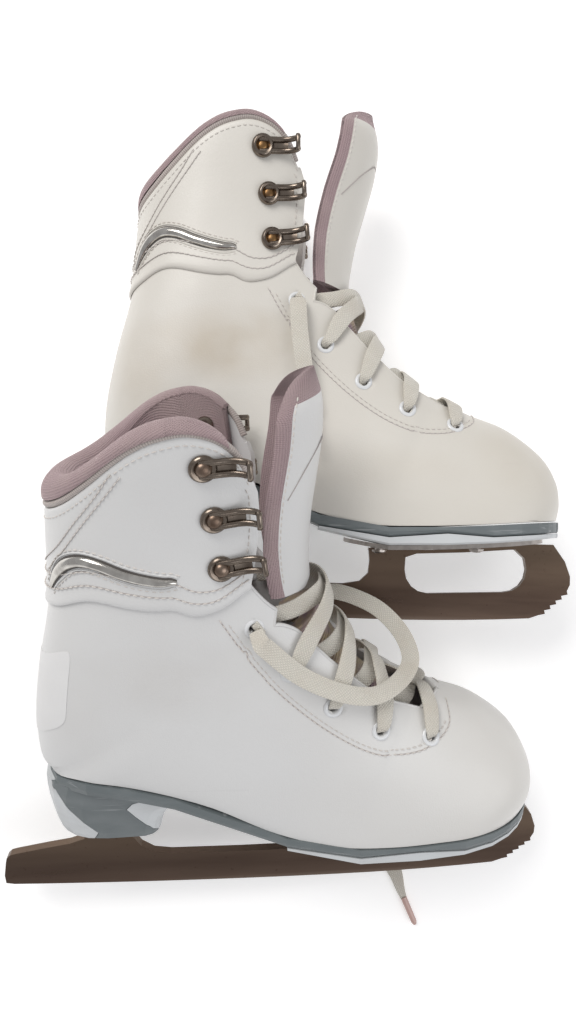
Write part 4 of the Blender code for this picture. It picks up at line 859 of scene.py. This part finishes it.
def tongueBase(skate):
    # The laced part, which follows the instep under the facings
    s = np.linspace(5.6, 9.9, 40) / rowCount
    first = facing(s) - 0.07
    share = np.linspace(0, 1, 20)
    right = first[:, None] + (1 - first[:, None]) * share
    rings = []
    for lift, order in ((wall["tongueDepth"] + .2, 1), (wall["tongueDepth"] - 5.0, -1)):
        a = np.concatenate([right, right[:, -2::-1]], 1)
        side = np.concatenate([np.full(20, -1.0), np.full(19, 1.0)])
        bulge = 0.5 * np.sin(np.linspace(0, 14, 40))[:, None] * (order > 0)
        rings.append(skin(s[:, None], a, side[None], lift + bulge)[0][:, ::order])
    rings = np.concatenate(rings, 1)
    over = distance(rings[:, 5])[:, None] + 0 * rings[..., 0]
    around = np.concatenate([np.zeros((len(rings), 1)), np.cumsum(np.linalg.norm(np.diff(rings, axis=1), axis=2), 1)], 1)
    obj = ringsPiece(skate, "tongue_base_pad", rings, skate["finish"]["inner"], uv=np.stack([over, around], -1),
                     slot="leather", replaces=["tongue_base"])


# ---------- hooks and trim ----------
def hook(skate, number, side):
    # A speed hook: a riveted button, and two prongs joined by a bar that curl up over the lace
    f = skate["finish"]
    left = skate["name"] == "left"
    s0, a0 = hooks[number - 1]
    p, n = skin(s0, a0, side, 1.3)
    forward = skin(s0, a0 + .05, side, 1.3)[0] - p
    forward[2] *= 0.3
    forward -= n * (forward @ n)
    forward /= np.linalg.norm(forward)
    up = np.cross(n, forward)
    tag = f"hook_{'right' if side < 0 else 'left'}_{number}"

    def at(ahead, across, high):
        return p + (forward * ahead + up * across + n * high) * mm

    if left:  # an open rim round a sunken amber middle
        button = [(0, .95), (2.3, 1.0), (2.7, 1.5), (3.2, 2.25), (3.9, 2.45), (4.6, 2.1), (5.0, 1.3), (5.0, 0.1), (0, 0.0)]
        middle = [(0, 1.75), (1.2, 1.65), (2.2, 1.2), (2.45, .8), (0, .7)]
    else:  # a domed rivet in a stepped washer
        button = [(0, 1.2), (2.9, 1.25), (3.3, 1.55), (4.2, 1.75), (4.8, 1.35), (5.1, .6), (5.0, 0.0), (0, 0.0)]
        middle = [(0, 3.3), (1.2, 3.15), (2.2, 2.6), (2.8, 1.8), (3.0, 1.1), (0, 1.0)]
    body = lathe(skate, tag + "_button", button, p, n, f["gunmetal"], slot="gunmetal", replaces=[tag])
    lathe(skate, tag + "_rivet", middle, p, n, f["amber"], slot="gunmetal")
    ahead = np.array([-1.5, 1.5, 4.0, 6.5, 9.0, 11.3, 13.2, 14.6, 15.2, 14.9])
    high = np.array([.8, 1.1, 1.3, 1.35, 1.5, 2.1, 3.2, 4.6, 6.0, 7.1])
    for prong, sign in (("upper", 1), ("lower", -1)):
        spread = sign * np.interp(ahead, [-2, 5, 16], [2.6, 2.35, 2.45])
        path = smooth(np.array([at(a, w, h) for a, w, h in zip(ahead, spread, high)]), np.linspace(0, 1, 34))
        across = np.tile(up, (34, 1))
        sweep(skate, f"{tag}_prong_{prong}", path, across, 1.05 * mm, 1.25 * mm, f["gunmetal"], sides=12, slot="gunmetal")
    bar = np.array([at(14.9, w, 6.6 + 0.5 * (1 - (w / 3.2) ** 2)) for w in np.linspace(-3.4, 3.4, 15)])
    barWidth = 1.15 * mm * np.sqrt(1 - np.linspace(-.93, .93, 15) ** 4)
    sweep(skate, tag + "_bar", bar, np.tile(forward, (15, 1)), barWidth, 1.0 * mm, f["gunmetal"], sides=12, slot="gunmetal")
    bridge = np.array([at(a, 0, h) for a, h in zip(ahead[1:6], high[1:6] - .5)])
    sweep(skate, tag + "_bridge", smooth(bridge, np.linspace(0, 1, 14)), np.tile(n, (14, 1)),
          2.3 * mm, 0.4 * mm, f["gunmetal"], sides=8, slot="gunmetal")
    return body


def trim(skate, side):
    # The S-shaped chrome inlay, in a stitched window low on the back of the cuff
    f = skate["finish"]
    tag = "right" if side < 0 else "left"
    t = np.linspace(0, 1, 70)
    at = smooth(placed(lines["trim"]), t)
    path, normal = skin(at[:, 0], at[:, 1], side, 1.35)
    wide = np.interp(t, [0, .2, .5, .85, 1], [0.8, 2.2, 2.0, 1.7, .5])
    wide = np.convolve(np.pad(wide, 5, mode="edge"), np.ones(11) / 11, "valid")
    rise = 1.7 * np.interp(t, [0, .15, .85, 1], [.4, 1, 1, .4])
    sweep(skate, "chrome_inlay_" + tag, path, normal, wide * mm, rise * mm, f["chrome"],
          sides=20, slot="chrome", replaces=["trim_" + tag], smoothAngle=75)
    path, normal = skin(at[:, 0], at[:, 1], side, 1.05)
    sweep(skate, "trim_bed_" + tag, path, normal, (wide + 0.65) * mm, 0.22 * mm, f["trimBed"], sides=8, power=0.6, slot="leather")
    _, across, _ = frames(path, normal)
    for sign, edge in ((1, "upper"), (-1, "lower")):
        line, up = path + across * sign * (wide[:, None] + 2.3) * mm + normal * 0.12 * mm, normal
        stitches(skate, f"trim_stitch_{tag}_{edge}", line, up, f["thread"], width=0.45, slot="leather")
        line = path + across * sign * (wide[:, None] + 1.3) * mm + normal * 0.05 * mm
        sweep(skate, f"trim_rim_{tag}_{edge}", line, up, 0.35 * mm, 0.45 * mm, f["cuff"], sides=8, slot="leather")


# ---------- laces ----------
laceLook = {"width": 8.0, "thick": 1.25, "hole": 3.4}


def crossingPoints(level, startSide, above):
    # From one eyelet over its facing, across the throat and under the other side to the next eyelet
    here, there = eyelets[level], eyelets[level + 1]
    out, under = 2.0, -4.9
    edge1, edge2 = float(facing(here[0])), float(facing(there[0]))
    step = there[0] - here[0]
    middle = 0.1 if above else -2.6
    return [
        (here[0], here[1], startSide, under, laceLook["hole"]),
        (here[0], here[1], startSide, -1.5, laceLook["hole"]),
        (here[0] + step * .02, here[1] + .008, startSide, 1.3, laceLook["hole"] + .8),
        (here[0] + step * .05, here[1] + .045, startSide, out, 6.0),
        (here[0] + step * .15, (here[1] + edge1) / 2 + .03, startSide, out + .1, 7.6),
        (here[0] + step * .25, edge1 + .03, startSide, out - .4, 8.0),
        (here[0] + step * .36, (edge1 + 1) / 2 + .03, startSide, max(middle, -.6), 8.0),
        (here[0] + step * .43, 1.0, startSide, middle, 7.8),
        (here[0] + step * .54, (edge2 + 1) / 2 + .03, -startSide, -2.2 + middle * .4, 7.8),
        (here[0] + step * .68, edge2 + .04, -startSide, under + .4, 7.4),
        (here[0] + step * .98, there[1] + .02, -startSide, under, 6.0),
    ]


def ribbon(skate, name, path, normals, width, material, **facts):
    path, normals, width = evenly(path, 1.1 * mm, normals, np.asarray(width, float)[:, None])
    return path, sweep(skate, name, path, normals, width[:, 0] / 2 * mm, laceLook["thick"] / 2 * mm, material, sides=12, power=0.5, **facts)


def laces(skate):
    f = skate["finish"]
    number = 0
    for first in (-1, 1):
        side = first
        for level in range(len(eyelets) - 1):
            rows = np.array(crossingPoints(level, side, (level + (first > 0)) % 2 == 0))
            path, normal = skin(rows[:, 0], np.clip(rows[:, 1], 0, 1), rows[:, 2], rows[:, 3])
            at = np.linspace(0, 1, 60)
            path, normal, width = smooth(path, at), smooth(normal, at), smooth(rows[:, 4], at)
            number += 1
            ribbon(skate, f"lace_crossing_{number}", path, normal, width, f["lace"], slot="lace", **({"replaces": ["lace"]} if number == 1 else {}))
            side = -side
    row, around = eyelets[0]
    bar = [skin(row - .006 - .004 * (abs(share - .9) < .3), around + share * (1 - around), side, -3.4)
           for side, shares in ((-1, (.05, .3, .65, .95)), (1, (.65, .3, .05))) for share in shares]
    path, normal = smooth(np.array([b[0] for b in bar]), np.linspace(0, 1, 40)), smooth(np.array([b[1] for b in bar]), np.linspace(0, 1, 40))
    ribbon(skate, "lace_bar", path, normal, np.full(40, 6.5), f["lace"], slot="lace")
    for side, tag in ((-1, "right"), (1, "left")):  # up out of the top eyelets
        row, around = eyelets[-1]
        rows = np.array([(-4.9, 3.4), (-1.5, 3.4), (0.9, 4.2), (1.8, 6.0)])
        path, normal = skin(np.full(4, row), np.array([around, around, around + .004, around + .015]), side, rows[:, 0])
        path, normal, width = (smooth(v, np.linspace(0, 1, 12)) for v in (path, normal, rows[:, 1]))
        ribbon(skate, "lace_top_" + tag, path, normal, width, f["lace"], slot="lace")


# the loose ends, as points of the skate they belong to, in mm on the last
looseEnds = {
    "right": {
        "a": {"side": -1, "face": (-0.25, -0.65, 0.72), "points": [
            (94.5, -33.5, 144.5), (109.5, -33.5, 130.4), (126.3, -31, 120.4), (140.7, -26, 115.7), (152.7, -16, 116.5), (159, -5, 119.8),
            (157.2, 8, 125.5), (149.1, 18, 132.1), (138.7, 25, 135.6), (129.3, 29, 137), (120, 32, 137)]},
        "b": {"side": 1, "face": (0, -.91, .41), "points": [
            (92.8, 32, 146.2), (93.7, 33.2, 140.2), (95, 32.6, 130.5), (96.3, 33.9, 118.9), (97.5, 37.7, 104), (98.3, 41.1, 87.2),
            (98.5, 42.6, 71.1), (100.7, 41.6, 56.1), (104.3, 36.9, 42.7), (119.7, 27.4, 22.9), (139.2, 19.5, 7),
            (154.9, 14.2, -3.4), (161.2, 10.8, -10.3), (164.4, 6.3, -19.9), (165.8, 4.7, -23.3)]},
    },
    "left": {"a": {"side": 1, "face": (0, 1, 0), "points": [
        (93, 33.2, 141), (93.8, 34, 132), (95.3, 35, 122), (97.2, 35.4, 110), (99, 36, 100), (100, 36.6, 95)]}},
}
aglet = {"length": 14.0, "width": 3.2}


def looseLace(skate, letter):
    end = looseEnds[skate["name"]][letter]
    f = skate["finish"]
    row, around = eyelets[-1]
    start = [skin(row, around, end["side"], lift)[0] for lift in (1.6, 3.0)]
    path = np.concatenate([start, smooth(fromLast(end["points"]), np.linspace(0, 1, 90))])
    path = evenly(path, 1.1 * mm)[0]
    share = np.linspace(0, 1, len(path))
    full = min(laceLook["width"], 7.6)
    width = np.interp(share, [0, .05, .93, 1], [5.0, full, full, aglet["width"]])
    normals = np.tile(np.array(end["face"], float), (len(path), 1))
    first = skin(row, around, end["side"])[1]
    blend = np.clip(share / .08, 0, 1)[:, None]
    normals = normals * blend + first * (1 - blend)
    normal = frames(path, normals)[2]
    obj = sweep(skate, "lace_ribbon_" + letter, path, normals, width / 2 * mm, laceLook["thick"] / 2 * mm, f["lace"],
                sides=12, power=0.5, slot="lace", replaces=["lace_end_" + letter])
    along = path[-1] - path[-2]
    along /= np.linalg.norm(along)
    tipPath = path[-1] + along * np.linspace(-0.3, aglet["length"], 22)[:, None] * mm
    r = aglet["width"] / 2 * np.interp(np.linspace(0, 1, 22), [0, .05, .9, 1], [1.02, 1, .92, .55])
    tip = sweep(skate, "lace_tip_" + letter, tipPath, np.tile(normal[-1], (22, 1)), r * mm, r * .9 * mm, f["tip"],
                sides=14, slot="aglet", replaces=["aglet_" + letter])


# ---------- label ----------
def label(skate):
    # A blank paper sticker wrapped round the back of the quarter
    s = np.linspace(locate(4.5, 99)[0], locate(7.0, 133)[0], 26)
    a = np.linspace(0.0, 0.285, 24)
    u, v = np.meshgrid(np.linspace(-1, 1, 26), np.linspace(-1, 1, 24), indexing="ij")
    keepOut = (np.abs(u) ** 8 + np.abs(v) ** 8) ** (1 / 8)
    u2, v2 = u * np.minimum(1, 1 / np.maximum(keepOut, 1e-6)), v * np.minimum(1, 1 / np.maximum(keepOut, 1e-6))
    rows = s.mean() + u2 * (s[-1] - s[0]) / 2
    places = a.mean() + v2 * (a[-1] - a[0]) / 2
    top = skin(rows, places, -1, 0.22)[0]
    under = skin(rows, places, -1, 0.02)[0]
    n = u.size
    faces = gridFaces(26, 24)
    points = np.concatenate([top.reshape(-1, 3), under.reshape(-1, 3)])
    rim = [i * 24 for i in range(26)] + [25 * 24 + j for j in range(1, 24)] + [i * 24 + 23 for i in range(24, -1, -1)] + [j for j in range(22, 0, -1)]
    sides = [[rim[i], rim[(i + 1) % len(rim)], rim[(i + 1) % len(rim)] + n, rim[i] + n] for i in range(len(rim))]
    piece(skate, "blank_label", points, faces.tolist() + (faces + n)[:, ::-1].tolist() + sides, skate["finish"]["paper"], slot="leather")


# ---------- what the frame already has right ----------
def dressFrame(skate):
    f = skate["finish"]
    looks = {"outsole": "grey", "midsole_wave": "white", "heel_core": "white", "runner": "steel",
             "sole_plate": "plate", "heel_plate": "plate", "footbed": "insole"}
    looks.update({f"sole_screw_{k}": "plate" for k in range(1, 5)})
    looks.update({f"heel_screw_{k}": "plate" for k in range(1, 3)})
    for node, look in looks.items():
        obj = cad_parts[skate["name"] + "_" + node]
        obj.data.materials.clear()
        obj.data.materials.append(f[look])


for skate in skates.values():
    bootShell(skate)
    facingTrim(skate)
    eyeletRings(skate)
    ankleCuff(skate)
    collar(skate)
    tongueBase(skate)
    tongue(skate)
    for side in (-1, 1):
        trim(skate, side)
        for number in (1, 2, 3):
            hook(skate, number, side)
    laces(skate)
    for letter in looseEnds[skate["name"]]:
        looseLace(skate, letter)
    dressFrame(skate)
    print(skate["name"], "skate dressed")
label(skates["right"])

# ---------- studio ----------
studio = {"floor": (0.90, 0.895, 0.89), "world": (0.93, 0.93, 0.95), "worldPower": 0.50}


def lamp(name, kind, at, toward, power, size, color=(1, 1, 1)):
    data = bpy.data.lights.new(name, kind)
    data.energy = power
    data.color = color
    if kind == "AREA":
        data.size = size
    obj = bpy.data.objects.new(name, data)
    obj.location = at
    obj.rotation_euler = (Vector(toward) - Vector(at)).to_track_quat("-Z", "Y").to_euler()
    bpy.context.scene.collection.objects.link(obj)


world = bpy.data.worlds.new("studio")
world.use_nodes = True
world.node_tree.nodes["Background"].inputs["Color"].default_value = (*studio["world"], 1)
world.node_tree.nodes["Background"].inputs["Strength"].default_value = studio["worldPower"]
bpy.context.scene.world = world
lamp("key", "AREA", (-0.45, 0.55, 0.85), (0, 0, 0.05), 6.6, 0.55, (1.0, 0.985, 0.96))
lamp("fill", "AREA", (0.60, -0.50, 0.70), (0, 0, 0.05), 2.9, 0.7, (0.97, 0.98, 1.0))
floorMesh = bpy.data.meshes.new("floor")
floorMesh.from_pydata([(-3, -3, -0.0004), (3, -3, -0.0004), (3, 3, -0.0004), (-3, 3, -0.0004)], [], [(0, 1, 2, 3)])
floor = bpy.data.objects.new("floor", floorMesh)
bpy.context.scene.collection.objects.link(floor)
floorLook = bpy.data.materials.new("pale floor")
floorLook.use_nodes = True
floorLook.node_tree.nodes["Principled BSDF"].inputs["Base Color"].default_value = (*studio["floor"], 1)
floorLook.node_tree.nodes["Principled BSDF"].inputs["Roughness"].default_value = 0.7
floorLook.node_tree.nodes["Principled BSDF"].inputs["Emission Color"].default_value = (1, 1, 1, 1)
floorLook.node_tree.nodes["Principled BSDF"].inputs["Emission Strength"].default_value = 0.30
floorMesh.materials.append(floorLook)
bpy.context.scene.view_settings.view_transform = "Standard"
bpy.context.scene.view_settings.look = "None"

bpy.context.view_layer.update()
print("scene ready")
